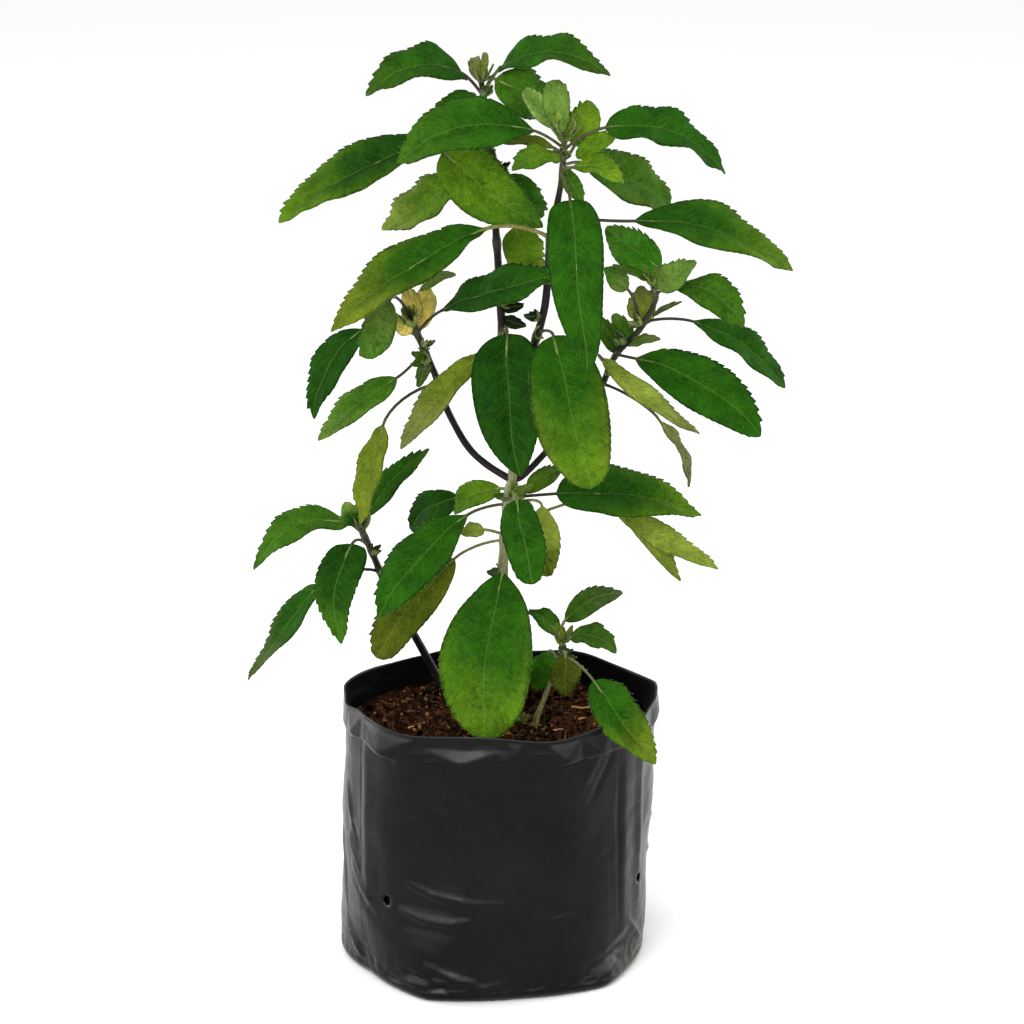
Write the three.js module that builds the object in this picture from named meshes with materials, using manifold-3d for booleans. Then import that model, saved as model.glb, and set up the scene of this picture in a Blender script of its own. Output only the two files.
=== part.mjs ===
// Holy basil plant in a black polythene grow bag.
// Millimetres, +Z up, origin at the middle of the bag's flat bottom, front towards -Y.

import * as THREE from "three";
import { mergeVertices } from "three/addons/utils/BufferGeometryUtils.js";
import Module from "manifold-3d";

const wasm = await Module();
wasm.setup();

// Grow bag: 203 mm lay-flat tubing, opened out and filled.
const bagRadius = 66;
const bagHeight = 118;
const bagLean = 3.5; // the mouth sits this far towards +X
const filmThickness = 1.2;
const hemDepth = 10;
const hemThickness = 0.9;
const hemStep = 0.6; // rise of the hem's lower lip
const middleHeight = 60; // a ring of corners half way up the wall
const bottomRounding = 4;
const roundingInset = 0.4; // share of the rounding that the flat bottom is drawn in by
const bagSides = 40;
const bagSpread = 1.5; // the mouth is this much wider than the bottom
const bottomCorners = [-114, -44, 62, 138]; // degrees, where the film's base is folded
const cornerReach = 5;
const cornerSpread = 15; // degrees
const cornerFade = 6; // the higher, the nearer to the bottom a corner ends

// Slack film: waves round the wall as a share of the radius, and round the rim in millimetres.
const mouthLobes = [
  { count: 5, depth: 0.012, turn: 0.6 },
  { count: 11, depth: 0.009, turn: 2 },
];
const bellyWave = { count: 3, depth: 0.006, turn: 1 };
const rimWaves = [
  { count: 1, depth: -3, turn: 0 },
  { count: 7, depth: 1.2, turn: 1 },
];
const lobeFade = 2;
const rimFade = 6;

// Drainage holes: degrees round the wall and height.
const holes = [
  { angle: -133.5, height: 41 },
  { angle: -20, height: 41.5 },
  { angle: 100, height: 38 },
];
const holeRadius = 2.2;
const holeLength = 8;
const holeSides = 10;

// Soil: domed a little round the plant, just below the rim.
const soilHeight = 106;
const soilDome = 3.5;
const soilEdge = soilHeight - soilDome;
const soilRings = [0, 0.25, 0.55, 0.8]; // shares of the soil's radius
const soilClods = 0.9;
const clodWaves = [
  { x: 0.31, y: 0.12, turn: 0 },
  { x: -0.17, y: 0.37, turn: 1 },
];

// Clearance between touching solids.
const gap = 0.35;

// Leaves.
const bladeThickness = 0.8;
const roundShoulder = 0.5; // exponent of the outline at the base, lower is blunter
const sharpEnd = 0.8; // exponent of the outline at the tip
const notchDepth = 0.12; // share of the half width that a tooth's notch cuts in
const toothLean = 0.4; // share of a station that a tooth points forward
const neckWidth = 1.7;
const tipWidth = 1.1;
const largeLeaf = 32; // leaves longer than this have the most teeth
const youngLeaf = 17; // and those shorter than this the fewest
const largeStations = 10;
const middleStations = 6;
const youngStations = 4;
const petioleRadius = 0.85;
const petioleSteps = 3;
const petioleEdge = 0.5; // share of its thickness that is left at its sides
const archSlope = 4; // slope of the arch 4t(1 - t) where it starts
const stemSides = 8;

// Colours.
const film = { color: 0x29292b, roughness: 0.42, metalness: 0 };
const potting = { color: 0x3a1d10, roughness: 0.95, metalness: 0 };
const darkGreen = { color: 0x1f5a12, roughness: 0.7, metalness: 0 };
const midGreen = { color: 0x2f6f16, roughness: 0.7, metalness: 0 };
const paleGreen = { color: 0x5b8a1c, roughness: 0.7, metalness: 0 };

// Which way a blade's upper face looks: 0 is the sky, 90 is the front.
function lean(degrees) {
  const angle = THREE.MathUtils.degToRad(degrees);
  return [0, -Math.sin(angle), Math.cos(angle)];
}

const vector = (values) => new THREE.Vector3(...values);

// Closed solid from a geometry whose shared corners are merged.
function solid(geometry) {
  const bare = new THREE.BufferGeometry();
  bare.setAttribute("position", geometry.getAttribute("position").clone());
  bare.setIndex(geometry.getIndex());
  const merged = mergeVertices(bare, 1e-3);
  const corners = merged.getIndex().array;
  const triangles = [];
  for (let i = 0; i < corners.length; i += 3) {
    const [a, b, c] = [corners[i], corners[i + 1], corners[i + 2]];
    if (a !== b && b !== c && c !== a) {
      triangles.push(a, b, c);
    }
  }
  return new wasm.Manifold(new wasm.Mesh({
    numProp: 3,
    vertProperties: merged.getAttribute("position").array,
    triVerts: Uint32Array.from(triangles),
  }));
}

function fuse(solids) {
  return solids.reduce((whole, piece) => whole.add(piece));
}

// Named mesh of one node.
function node(name, body, look) {
  const { vertProperties, triVerts } = body.getMesh();
  const geometry = new THREE.BufferGeometry();
  geometry.setAttribute("position", new THREE.BufferAttribute(vertProperties, 3));
  geometry.setIndex(new THREE.BufferAttribute(triVerts, 1));
  geometry.computeVertexNormals();
  const mesh = new THREE.Mesh(geometry, new THREE.MeshStandardMaterial(look));
  mesh.name = name;
  return mesh;
}

// Round limb along a curve, from one radius to another: a cylinder bent onto the curve.
function limb(curve, startRadius, endRadius, sides, steps) {
  const frames = curve.computeFrenetFrames(steps, false);
  const tube = new THREE.CylinderGeometry(1, 1, 1, sides, steps);
  const place = tube.getAttribute("position");
  const point = new THREE.Vector3();
  for (let i = 0; i < place.count; i += 1) {
    const along = place.getY(i) + 0.5;
    const step = Math.round(along * steps);
    const radius = THREE.MathUtils.lerp(startRadius, endRadius, along);
    point.copy(curve.getPointAt(along));
    point.addScaledVector(frames.binormals[step], place.getX(i) * radius);
    point.addScaledVector(frames.normals[step], place.getZ(i) * radius);
    place.setXYZ(i, point.x, point.y, point.z);
  }
  return solid(tube);
}

// A stem's own limb, or the wider one that keeps its neighbours clear of it.
function stemLimb({ route, radii, steps }, clearance = 0) {
  const curve = new THREE.CatmullRomCurve3(route.map(vector), false, "centripetal");
  return limb(curve, radii[0] + clearance, radii[1] + clearance, stemSides, steps);
}

// Thin closed sheet. Both faces use one grid, so they split into triangles alike.
function sheet(columns, rows, place) {
  const grid = new THREE.PlaneGeometry(1, 1, columns, rows);
  const uv = grid.getAttribute("uv");
  const face = grid.getIndex().array;
  const count = uv.count;
  const points = [];
  for (const side of [1, -1]) {
    for (let i = 0; i < count; i += 1) {
      points.push(...place(uv.getX(i), uv.getY(i), side).toArray());
    }
  }
  const corners = [];
  for (let i = 0; i < face.length; i += 3) {
    const [a, b, c] = [face[i], face[i + 1], face[i + 2]];
    corners.push(a, b, c, a + count, c + count, b + count);
  }
  const wide = columns + 1;
  const rim = [];
  for (let i = 0; i < columns; i += 1) {
    rim.push(rows * wide + i);
  }
  for (let i = rows; i > 0; i -= 1) {
    rim.push(i * wide + columns);
  }
  for (let i = columns; i > 0; i -= 1) {
    rim.push(i);
  }
  for (let i = 0; i < rows; i += 1) {
    rim.push(i * wide);
  }
  rim.forEach((a, i) => {
    const b = rim[(i + 1) % rim.length];
    corners.push(a + count, b + count, b, a + count, b, a);
  });
  const closed = new THREE.BufferGeometry();
  closed.setAttribute("position", new THREE.Float32BufferAttribute(points, 3));
  closed.setIndex(corners);
  return solid(closed);
}

// The way a blade runs, the way its upper face looks and the way across it.
function bladeAxes({ neck, tip, faces }) {
  const chord = vector(tip).sub(vector(neck));
  const heading = chord.clone().normalize();
  const upper = vector(faces);
  upper.addScaledVector(heading, -upper.dot(heading)).normalize();
  return { chord, heading, upper, across: heading.clone().cross(upper) };
}

function stationsFor(length) {
  if (length > largeLeaf) {
    return largeStations;
  }
  return length > youngLeaf ? middleStations : youngStations;
}

// Half width along a blade, as a share of its greatest.
function outline(v, shoulder, end) {
  const broadest = shoulder / (shoulder + end);
  const greatest = broadest ** shoulder * (1 - broadest) ** end;
  return (v ** shoulder * (1 - v) ** end) / greatest;
}

// Petiole's middle line: out of the stem, then into the blade the way the midrib starts.
function petioleCurve(from, neck, into) {
  const bend = neck.clone().addScaledVector(into, -neck.distanceTo(from) / 2);
  return new THREE.CubicBezierCurve3(from, from.clone().lerp(bend, 0.6), bend.lerp(neck, 0.5), neck);
}

// A leaf is one closed sheet: a narrow thick petiole, then the blade with its toothed edge, its
// midrib arched out of it and bowed within it, and its halves folded up a little. A young leaf
// has no petiole, and its blade starts inside its stem.
function leaf(leafRow) {
  const { from, neck, tip, width, faces } = leafRow;
  const { arch = 1, bow = 0, fold = 12, shoulder = roundShoulder, end = sharpEnd } = leafRow;
  const { chord, heading, upper, across } = bladeAxes({ neck, tip, faces });
  const start = vector(neck);
  const length = chord.length();
  const rise = Math.sin(THREE.MathUtils.degToRad(fold));
  const reach = Math.cos(THREE.MathUtils.degToRad(fold));
  const stations = stationsFor(length);
  const stalk = from ? petioleSteps : 0;
  const into = chord.clone().addScaledVector(upper, arch * archSlope);
  into.addScaledVector(across, bow * archSlope).normalize();
  const curve = from ? petioleCurve(vector(from), start, into) : null;

  const onPetiole = (row, hand, side) => {
    const along = curve.getTangent(row / stalk);
    const sideways = across.clone().addScaledVector(along, -across.dot(along)).normalize();
    const thick = sideways.clone().cross(along);
    const point = curve.getPoint(row / stalk).addScaledVector(sideways, hand * petioleRadius);
    return point.addScaledVector(thick, side * petioleRadius * (hand === 0 ? 1 : petioleEdge));
  };

  const onBlade = (row, hand, side) => {
    const v = row / stations;
    const inside = row > 0 && row < stations;
    const tooth = inside && row % 2 === 1;
    const along = v + (hand !== 0 && tooth ? toothLean / stations : 0);
    const bare = THREE.MathUtils.lerp(neckWidth, tipWidth, v) / 2;
    const cut = tooth ? 1 : 1 - notchDepth;
    const half = inside ? Math.max(bare, (width / 2) * outline(v, shoulder, end) * cut) : bare;
    const bend = archSlope * along * (1 - along);
    const point = start.clone().addScaledVector(chord, along);
    point.addScaledVector(upper, arch * bend + Math.abs(hand) * half * rise);
    point.addScaledVector(across, bow * bend + hand * half * reach);
    const slope = (arch * archSlope * (1 - 2 * v)) / length;
    const normal = upper.clone().addScaledVector(heading, -slope).normalize();
    return point.addScaledVector(normal, (side * bladeThickness) / 2);
  };

  return sheet(2, stalk + stations, (u, v, side) => {
    const row = Math.round(v * (stalk + stations));
    const hand = Math.round(u * 2) - 1;
    return row < stalk ? onPetiole(row, hand, side) : onBlade(row - stalk, hand, side);
  });
}

// A leafy stem: the limb with every leaf fused to it.
function leafyStem(stem, leaves) {
  return fuse([stemLimb(stem), ...leaves.map(leaf)]);
}

// Stems: the middle line, the radius at both ends and the steps between them.
const trunk = {
  route: [
    [6, 6, 62], [6, 6, 106], [6, 5, 132], [5, 2, 172], [6, 1, 185], [7, -1, 202], [9, -2, 216],
    [10, -2, 225], [11, -3, 236],
  ],
  radii: [2.6, 2],
  steps: 12,
};
const leftStem = {
  route: [
    [9, -2, 216], [-1, 0, 224], [-9, 1, 232], [-18, 2, 248], [-22, 3, 260], [-29, 4, 274], [-33, 4, 283],
  ],
  radii: [1.6, 1.2],
  steps: 11,
};
const rightStem = {
  route: [
    [9, -2, 216], [14, -1, 219], [26, 1, 233], [36, 3, 245], [47, 5, 256], [53, 6, 269], [63, 7, 280],
    [70, 8, 293], [69, 8, 300],
  ],
  radii: [1.5, 1.1],
  steps: 12,
};
const centreLeftStem = {
  route: [
    [10, -2, 228], [8, 0, 254], [5, 3, 280], [3, 6, 312], [2, 7, 329], [2, 8, 351], [-1, 8, 364],
    [-3, 8, 382], [-4, 8, 390],
  ],
  radii: [2, 1.1],
  steps: 14,
};
const centreRightStem = {
  route: [
    [11, -3, 230], [13, -5, 253], [17, -7, 273], [23, -9, 296], [25, -11, 326], [28, -12, 341],
    [30, -13, 354], [31, -14, 372],
  ],
  radii: [2.1, 1.1],
  steps: 12,
};
const basalStem = {
  route: [
    [-11, 35, 76], [-20, 31, 106], [-29, 28, 126], [-41, 22, 151], [-47, 17, 165], [-52, 11, 180],
    [-56, 8, 190],
  ],
  radii: [2.1, 1.3],
  steps: 10,
};
const seedlingStem = {
  route: [[17, -2, 88], [19, -3, 106], [22, -3, 114], [25, -4, 123], [29, -5, 133], [31, -5, 146]],
  radii: [1.1, 0.9],
  steps: 8,
};

// Leaves: where the petiole leaves the stem, the blade's neck and tip, its width, how far its
// midrib arches out of it and bows within it, and the way that its upper face looks.
const trunkLeaves = [
  { from: [6, 1, 187], neck: [5, -17, 179], tip: [-3, -56, 117], width: 38,
    arch: 5, bow: 3, faces: lean(90), fold: 8,
    shoulder: 0.8, end: 0.55 },
  { from: [8, -1, 205], neck: [-8, -10, 204], tip: [-48, -38, 166], width: 23,
    arch: 6, bow: 2, faces: lean(50) },
  { from: [6, 1, 188], neck: [-16, -4, 181], tip: [-51, -18, 141], width: 21,
    arch: 3, bow: 3, faces: lean(60) },
  { from: [8, -1, 209], neck: [-14, 18, 204], tip: [-36, 32, 183], width: 15,
    arch: 3, bow: 3, faces: lean(60) },
  { from: [8, -1, 211], neck: [4, 2, 211], tip: [-16, 10, 197], width: 12,
    arch: 3, bow: 3, faces: lean(60) },
  { from: [9, -1, 212], neck: [20, 6, 210], tip: [32, 22, 217], width: 11,
    arch: 2, bow: -1, faces: lean(60) },
  { from: [8, -1, 208], neck: [28, 4, 209], tip: [90, 14, 196], width: 25,
    arch: 4, bow: -2, faces: lean(36) },
  { from: [6, 1, 188], neck: [53, 19, 194], tip: [98, 2, 175], width: 13,
    arch: 1, bow: 1, faces: lean(45) },
  { from: [53, 19, 194], neck: [59, 19, 191], tip: [81, 8, 167], width: 11,
    arch: 1, bow: -1, faces: lean(45) },
  { from: [8, -1, 207], neck: [11, -14, 211], tip: [17, -32, 181], width: 16,
    arch: 5, faces: lean(90), fold: 8 },
  { from: [8, -1, 204], neck: [22, -2, 204], tip: [27, -10, 179], width: 14, arch: 2, faces: lean(90) },
  { from: [6, 1, 190], neck: [-3, -3, 194], tip: [-13, -6, 193], width: 6, faces: lean(40) },
  { neck: [5, 2, 172], tip: [-2, -1, 174], width: 5, faces: lean(60) },
];

const leftLeaves = [
  { from: [-32, 4, 279], neck: [-56, 9, 278], tip: [-76, 6, 241], width: 16,
    arch: 2, bow: 5, faces: lean(40) },
  { from: [-29, 4, 272], neck: [-41, 0, 262], tip: [-74, -20, 241], width: 14,
    arch: 1, bow: 1, faces: lean(35) },
  { from: [-32, 4, 281], neck: [-40, -6, 297], tip: [-48, -18, 275], width: 14, arch: 2, faces: lean(90) },
  { from: [-32, 4, 281], neck: [-30, 10, 283], tip: [-28, 20, 295], width: 11, arch: 2, faces: lean(90) },
  { from: [-31, 4, 280], neck: [-21, 0, 291], tip: [29, -19, 311], width: 21,
    arch: 2, bow: -1, faces: lean(40) },
  { from: [-32, 4, 281], neck: [-30, 18, 295], tip: [-15, 28, 299], width: 5, arch: 1, faces: lean(40) },
  { from: [-22, 3, 260], neck: [-45, -10, 243], tip: [-58, -26, 204], width: 14,
    arch: 1, bow: -1, faces: [-0.6, -0.8, 0.3] },
  { neck: [-27, 4, 269], tip: [-31, 0, 257], width: 6, faces: lean(80) },
];

const rightLeaves = [
  { from: [70, 8, 298], neck: [71, 14, 303], tip: [51, 32, 317], width: 19, arch: 3, faces: lean(80) },
  { from: [69, 8, 298], neck: [68, 4, 305], tip: [52, -2, 312], width: 8, faces: lean(10) },
  { from: [70, 8, 298], neck: [71, 4, 300], tip: [87, -6, 314], width: 13, arch: 2, faces: lean(60) },
  { from: [70, 8, 295], neck: [78, 4, 301], tip: [107, -14, 291], width: 16,
    arch: 2, bow: -5, faces: lean(50) },
  { from: [67, 7, 287], neck: [86, 16, 284], tip: [126, 26, 251], width: 16,
    arch: 3, bow: -3, faces: lean(40) },
  { from: [53, 6, 270], neck: [66, 0, 271], tip: [115, -22, 243], width: 25,
    arch: 3, bow: -4, faces: lean(70) },
  { from: [51, 6, 263], neck: [48, -12, 273], tip: [88, -36, 248], width: 13, faces: lean(25) },
  { from: [48, 5, 257], neck: [71, 3, 243], tip: [85, 4, 211], width: 14, arch: 3, faces: [1, 0, 0.4] },
  { from: [66, 7, 285], neck: [64, 14, 295], tip: [56, 22, 281], width: 10, faces: lean(80) },
  { from: [63, 7, 281], neck: [58, 2, 300], tip: [48, -2, 310], width: 9, faces: lean(70) },
  { neck: [60, 7, 276], tip: [52, 12, 286], width: 9, faces: lean(80) },
  { neck: [58, 7, 274], tip: [72, -2, 279], width: 6, faces: lean(40) },
];

const centreLeftLeaves = [
  { from: [-3, 8, 382], neck: [-13, 8, 391], tip: [-51, -12, 391], width: 21,
    arch: 8, bow: 3, faces: lean(35) },
  { from: [-3, 8, 382], neck: [6, 10, 393], tip: [49, -12, 398], width: 20,
    arch: 8, bow: -3, faces: lean(30) },
  { from: [-2, 8, 384], neck: [2, 6, 391], tip: [26, 14, 374], width: 22,
    arch: 3, bow: -1, faces: lean(60) },
  { from: [-1, 8, 364], neck: [-21, 4, 365], tip: [-89, -16, 335], width: 28,
    arch: 5, bow: 2, faces: lean(24) },
  { from: [2, 8, 359], neck: [-16, 0, 365], tip: [23, -12, 329], width: 27,
    arch: 3, bow: 2, faces: lean(75) },
  { from: [2, 8, 351], neck: [-12, 18, 342], tip: [-47, 36, 317], width: 21, arch: 2, faces: lean(45) },
  { from: [2, 8, 348], neck: [6, 12, 347], tip: [22, 26, 325], width: 15, arch: 2, faces: lean(70) },
  { from: [2, 7, 332], neck: [7, 18, 323], tip: [18, 32, 293], width: 18, arch: 2, faces: lean(90) },
  { from: [5, 3, 280], neck: [-5, -12, 273], tip: [-38, -34, 240], width: 14, arch: 1, faces: lean(30) },
  { from: [5, 3, 280], neck: [4, -8, 277], tip: [10, -28, 226], width: 30, arch: 4, bow: 1, faces: lean(90),
    shoulder: 0.75, end: 0.65 },
  { neck: [-4, 8, 387], tip: [-9, 7, 401], width: 7, faces: lean(80) },
  { neck: [-4, 8, 387], tip: [-2, 6, 402], width: 6, faces: lean(80) },
  { neck: [5, 4, 291], tip: [14, 1, 293], width: 6, faces: lean(70) },
  { neck: [5, 4, 286], tip: [15, 0, 284], width: 6, faces: lean(70) },
];

const centreRightLeaves = [
  { from: [31, -14, 365], neck: [18, -17, 374], tip: [-39, -28, 363], width: 28,
    arch: 6, bow: 6, faces: lean(45) },
  { from: [25, -11, 326], neck: [-2, -15, 331], tip: [-67, -32, 291], width: 28,
    arch: 4, bow: 3, faces: lean(30) },
  { from: [31, -14, 365], neck: [48, -12, 374], tip: [99, 0, 351], width: 21,
    arch: 7, bow: -5, faces: lean(32) },
  { from: [32, -14, 362], neck: [35, -12, 366], tip: [42, 2, 382], width: 15, arch: 2, faces: lean(90) },
  { from: [31, -14, 364], neck: [30, -17, 373], tip: [22, -6, 392], width: 15, arch: 2, faces: lean(90) },
  { from: [31, -14, 359], neck: [34, -24, 361], tip: [55, -42, 361], width: 14,
    arch: 3, bow: -2, faces: lean(30) },
  { from: [30, -13, 357], neck: [40, -1, 358], tip: [75, 20, 331], width: 20,
    arch: 3, bow: -2, faces: lean(50) },
  { from: [28, -12, 336], neck: [61, -6, 332], tip: [128, 6, 308], width: 26,
    arch: 6, bow: -3, faces: lean(32) },
  { from: [30, -14, 359], neck: [28, -22, 365], tip: [9, -40, 363], width: 14, arch: 2, faces: lean(30) },
  { from: [30, -14, 361], neck: [26, -6, 364], tip: [6, 5, 364], width: 11, arch: 2, faces: lean(25) },
  { from: [30, -13, 355], neck: [33, -26, 348], tip: [41, -50, 279], width: 24,
    arch: 9, faces: lean(90), fold: 9,
    shoulder: 0.6, end: 0.65 },
  { from: [19, -8, 283], neck: [28, -16, 284], tip: [43, -42, 225], width: 32,
    arch: 6, faces: lean(90), fold: 9,
    shoulder: 0.6, end: 0.65 },
  { neck: [31, -14, 368], tip: [28, -15, 382], width: 6, faces: lean(80) },
  { neck: [31, -14, 368], tip: [35, -15, 381], width: 5, faces: lean(80) },
  { neck: [21, -8, 291], tip: [14, -12, 292], width: 5, faces: lean(80) },
];

const basalLeaves = [
  { from: [-55, 8, 187], neck: [-62, 6, 194], tip: [-103, -12, 180], width: 18,
    arch: 8, bow: 5, faces: lean(30) },
  { from: [-54, 9, 187], neck: [-54, 16, 192], tip: [-26, 32, 218], width: 12, bow: -2,
    faces: [-0.3, -0.7, 0.6] },
  { from: [-55, 8, 187], neck: [-57, 2, 195], tip: [-63, -2, 206], width: 8, faces: lean(70) },
  { from: [-52, 11, 179], neck: [-60, 0, 187], tip: [-64, -16, 149], width: 19,
    arch: 2, bow: 5, faces: lean(90) },
  { from: [-48, 15, 169], neck: [-75, 8, 165], tip: [-106, 8, 123], width: 13,
    arch: 1, faces: [-0.6, -0.7, 0.5] },
];

const seedlingLeaves = [
  { from: [31, -5, 142], neck: [33, -2, 152], tip: [57, 4, 163], width: 12,
    arch: 2, bow: -3, faces: lean(70) },
  { from: [31, -5, 142], neck: [29, 0, 145], tip: [16, 5, 154], width: 9,
    arch: 2, bow: 1, faces: lean(30) },
  { from: [31, -5, 142], neck: [34, -8, 147], tip: [54, -15, 142], width: 12,
    arch: 4, bow: -2, faces: lean(30) },
  { from: [30, -5, 138], neck: [32, -12, 140], tip: [32, -18, 123], width: 14, arch: 2, faces: lean(90) },
  { from: [29, -5, 134], neck: [25, -2, 138], tip: [19, -2, 120], width: 12, arch: 1, faces: lean(80) },
  { from: [30, -5, 137], neck: [44, -34, 136], tip: [70, -58, 107], width: 20,
    arch: 3, bow: 1, faces: lean(50) },
  { neck: [31, -5, 142], tip: [28, -7, 153], width: 5, faces: lean(80) },
];

const wave = ({ count, depth, turn }, angle) => depth * Math.sin(count * angle + turn);

function sum(values) {
  return values.reduce((total, value) => total + value, 0);
}

// How far the folded corners of the bottom stand out at an angle.
function cornersAt(angle) {
  return sum(bottomCorners.map((corner) => {
    const away = Math.abs(((THREE.MathUtils.radToDeg(angle) - corner + 540) % 360) - 180);
    return cornerReach * Math.exp(-((away / cornerSpread) ** 2));
  }));
}

// Slack film: lobes that grow towards the mouth, a lean, an uneven rim and a folded bottom.
function slacken(geometry) {
  const place = geometry.getAttribute("position");
  for (let i = 0; i < place.count; i += 1) {
    const [x, y, z] = [place.getX(i), place.getY(i), place.getZ(i)];
    const angle = Math.atan2(y, x);
    const height = z / bagHeight;
    const lobes = sum(mouthLobes.map((lobe) => wave(lobe, angle))) * height ** lobeFade;
    const belly = wave(bellyWave, angle) * Math.sin(Math.PI * height);
    const corners = (cornersAt(angle) * (1 - height) ** cornerFade) / bagRadius;
    const spread = 1 + lobes + belly + corners;
    const rise = sum(rimWaves.map((rim) => wave(rim, angle))) * height ** rimFade;
    place.setXYZ(i, x * spread + bagLean * height, y * spread, z + rise);
  }
  return geometry;
}

// Solid of revolution about +Z. A profile listed downwards has its triangles turned over, and so
// splits its wall into the same triangles as the inside of the film.
function turned(profile, sides, downwards = false) {
  const points = profile.map(([radius, height]) => new THREE.Vector2(radius, height));
  const lathe = new THREE.LatheGeometry(points, sides);
  const corners = lathe.getIndex();
  for (let i = 0; downwards && i < corners.count; i += 3) {
    const [b, c] = [corners.getX(i + 1), corners.getX(i + 2)];
    corners.setX(i + 1, c);
    corners.setX(i + 2, b);
  }
  return lathe.rotateX(Math.PI / 2);
}

const wallRadius = (height) => bagRadius + bagSpread * (height / bagHeight);

// Film shell with a hem folded over outside its mouth.
function growBag() {
  const hemStart = bagHeight - hemDepth;
  const inner = bagRadius - filmThickness;
  const profile = [
    [0, 0],
    [bagRadius - bottomRounding * roundingInset, 0],
    [bagRadius, bottomRounding],
    [wallRadius(middleHeight), middleHeight],
    [wallRadius(hemStart), hemStart],
    [wallRadius(hemStart) + hemThickness, hemStart + hemStep],
    [wallRadius(bagHeight) + hemThickness, bagHeight],
    [wallRadius(bagHeight) - filmThickness, bagHeight],
    [wallRadius(soilEdge) - filmThickness, soilEdge],
    [wallRadius(middleHeight) - filmThickness, middleHeight],
    [inner, bottomRounding],
    [inner - bottomRounding * roundingInset, filmThickness],
    [0, filmThickness],
  ];
  const shell = solid(slacken(turned(profile, bagSides)));
  return drainageHoles().reduce((body, hole) => body.subtract(hole), shell);
}

// Punched drainage holes, each a short bar through the wall.
function drainageHoles() {
  return holes.map(({ angle, height }) => {
    const bar = new THREE.CylinderGeometry(holeRadius, holeRadius, holeLength, holeSides);
    bar.rotateZ(Math.PI / 2);
    bar.translate(bagRadius, 0, height);
    bar.rotateZ(THREE.MathUtils.degToRad(angle));
    return solid(bar);
  });
}

// Soil plug with clods on top and a plain hole for each stem that stands in it.
function soilPlug(standing) {
  const inner = bagRadius - filmThickness - gap;
  const foot = filmThickness + gap;
  const profile = [
    ...soilRings.map((share) => [inner * share, soilHeight - soilDome * share ** 2]),
    [wallRadius(soilEdge) - filmThickness - gap, soilEdge],
    [wallRadius(middleHeight) - filmThickness - gap, middleHeight],
    [inner, bottomRounding + gap],
    [inner - bottomRounding * roundingInset, foot],
    [0, foot],
  ];
  const plug = turned(profile, bagSides, true);
  const place = plug.getAttribute("position");
  for (let i = 0; i < place.count; i += 1) {
    const [x, y, z] = [place.getX(i), place.getY(i), place.getZ(i)];
    const clod = sum(clodWaves.map((clods) => Math.sin(x * clods.x + y * clods.y + clods.turn)));
    place.setZ(i, z > soilEdge ? z + soilClods * clod : z);
  }
  return standing.reduce((body, stem) => body.subtract(stemLimb(stem, gap)), solid(slacken(plug)));
}

// Keeps a leafy stem clear of the stems that it grows beside.
function clearOf(body, stems) {
  return stems.reduce((rest, stem) => rest.subtract(stemLimb(stem, gap)), body);
}

const group = new THREE.Group();
group.add(
  node("grow_bag", growBag(), film),
  node("soil", soilPlug([trunk, basalStem, seedlingStem]), potting),
  node("trunk", leafyStem(trunk, trunkLeaves), darkGreen),
  node("shoot_left", clearOf(leafyStem(leftStem, leftLeaves), [trunk]), midGreen),
  node("shoot_right", clearOf(leafyStem(rightStem, rightLeaves), [trunk]), midGreen),
  node("shoot_centre_left", clearOf(leafyStem(centreLeftStem, centreLeftLeaves), [trunk]), midGreen),
  node(
    "shoot_centre_right",
    clearOf(leafyStem(centreRightStem, centreRightLeaves), [trunk, centreLeftStem]),
    darkGreen,
  ),
  node("basal_shoot_left", leafyStem(basalStem, basalLeaves), midGreen),
  node("seedling_right", leafyStem(seedlingStem, seedlingLeaves), paleGreen),
);

export default group;
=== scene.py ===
import math
import random
from functools import partial

import bmesh
import bpy
from mathutils import Matrix, Vector, geometry, noise


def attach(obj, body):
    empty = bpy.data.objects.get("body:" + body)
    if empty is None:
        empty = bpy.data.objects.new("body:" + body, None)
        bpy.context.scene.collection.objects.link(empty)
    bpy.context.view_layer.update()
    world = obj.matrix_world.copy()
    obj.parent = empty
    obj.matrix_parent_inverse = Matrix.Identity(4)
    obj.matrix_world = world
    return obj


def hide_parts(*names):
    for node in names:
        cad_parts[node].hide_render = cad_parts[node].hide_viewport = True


# Holy basil in a black polythene grow bag. Sizes in the dictionaries are millimetres, angles are degrees.
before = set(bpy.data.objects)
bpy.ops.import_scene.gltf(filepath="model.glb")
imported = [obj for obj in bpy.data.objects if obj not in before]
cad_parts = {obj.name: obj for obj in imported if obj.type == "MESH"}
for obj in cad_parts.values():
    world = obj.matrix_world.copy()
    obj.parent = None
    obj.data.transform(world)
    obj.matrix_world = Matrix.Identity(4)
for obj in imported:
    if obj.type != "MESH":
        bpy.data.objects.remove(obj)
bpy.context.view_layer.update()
mm = 0.001


# ---- small helpers

def linear(hexColour):
    channels = [int(hexColour[i:i + 2], 16) / 255 for i in (1, 3, 5)]
    return [c / 12.92 if c <= 0.04045 else ((c + 0.055) / 1.055) ** 2.4 for c in channels] + [1.0]


def blend(a, b, share):
    return [x + (y - x) * share for x, y in zip(a, b)]


def smooth(low, high, value):
    t = min(1.0, max(0.0, (value - low) / (high - low)))
    return t * t * (3 - 2 * t)


def lean(degrees):  # way an upper face looks: 0 is the sky, 90 is the front
    return (0, -math.sin(math.radians(degrees)), math.cos(math.radians(degrees)))


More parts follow.
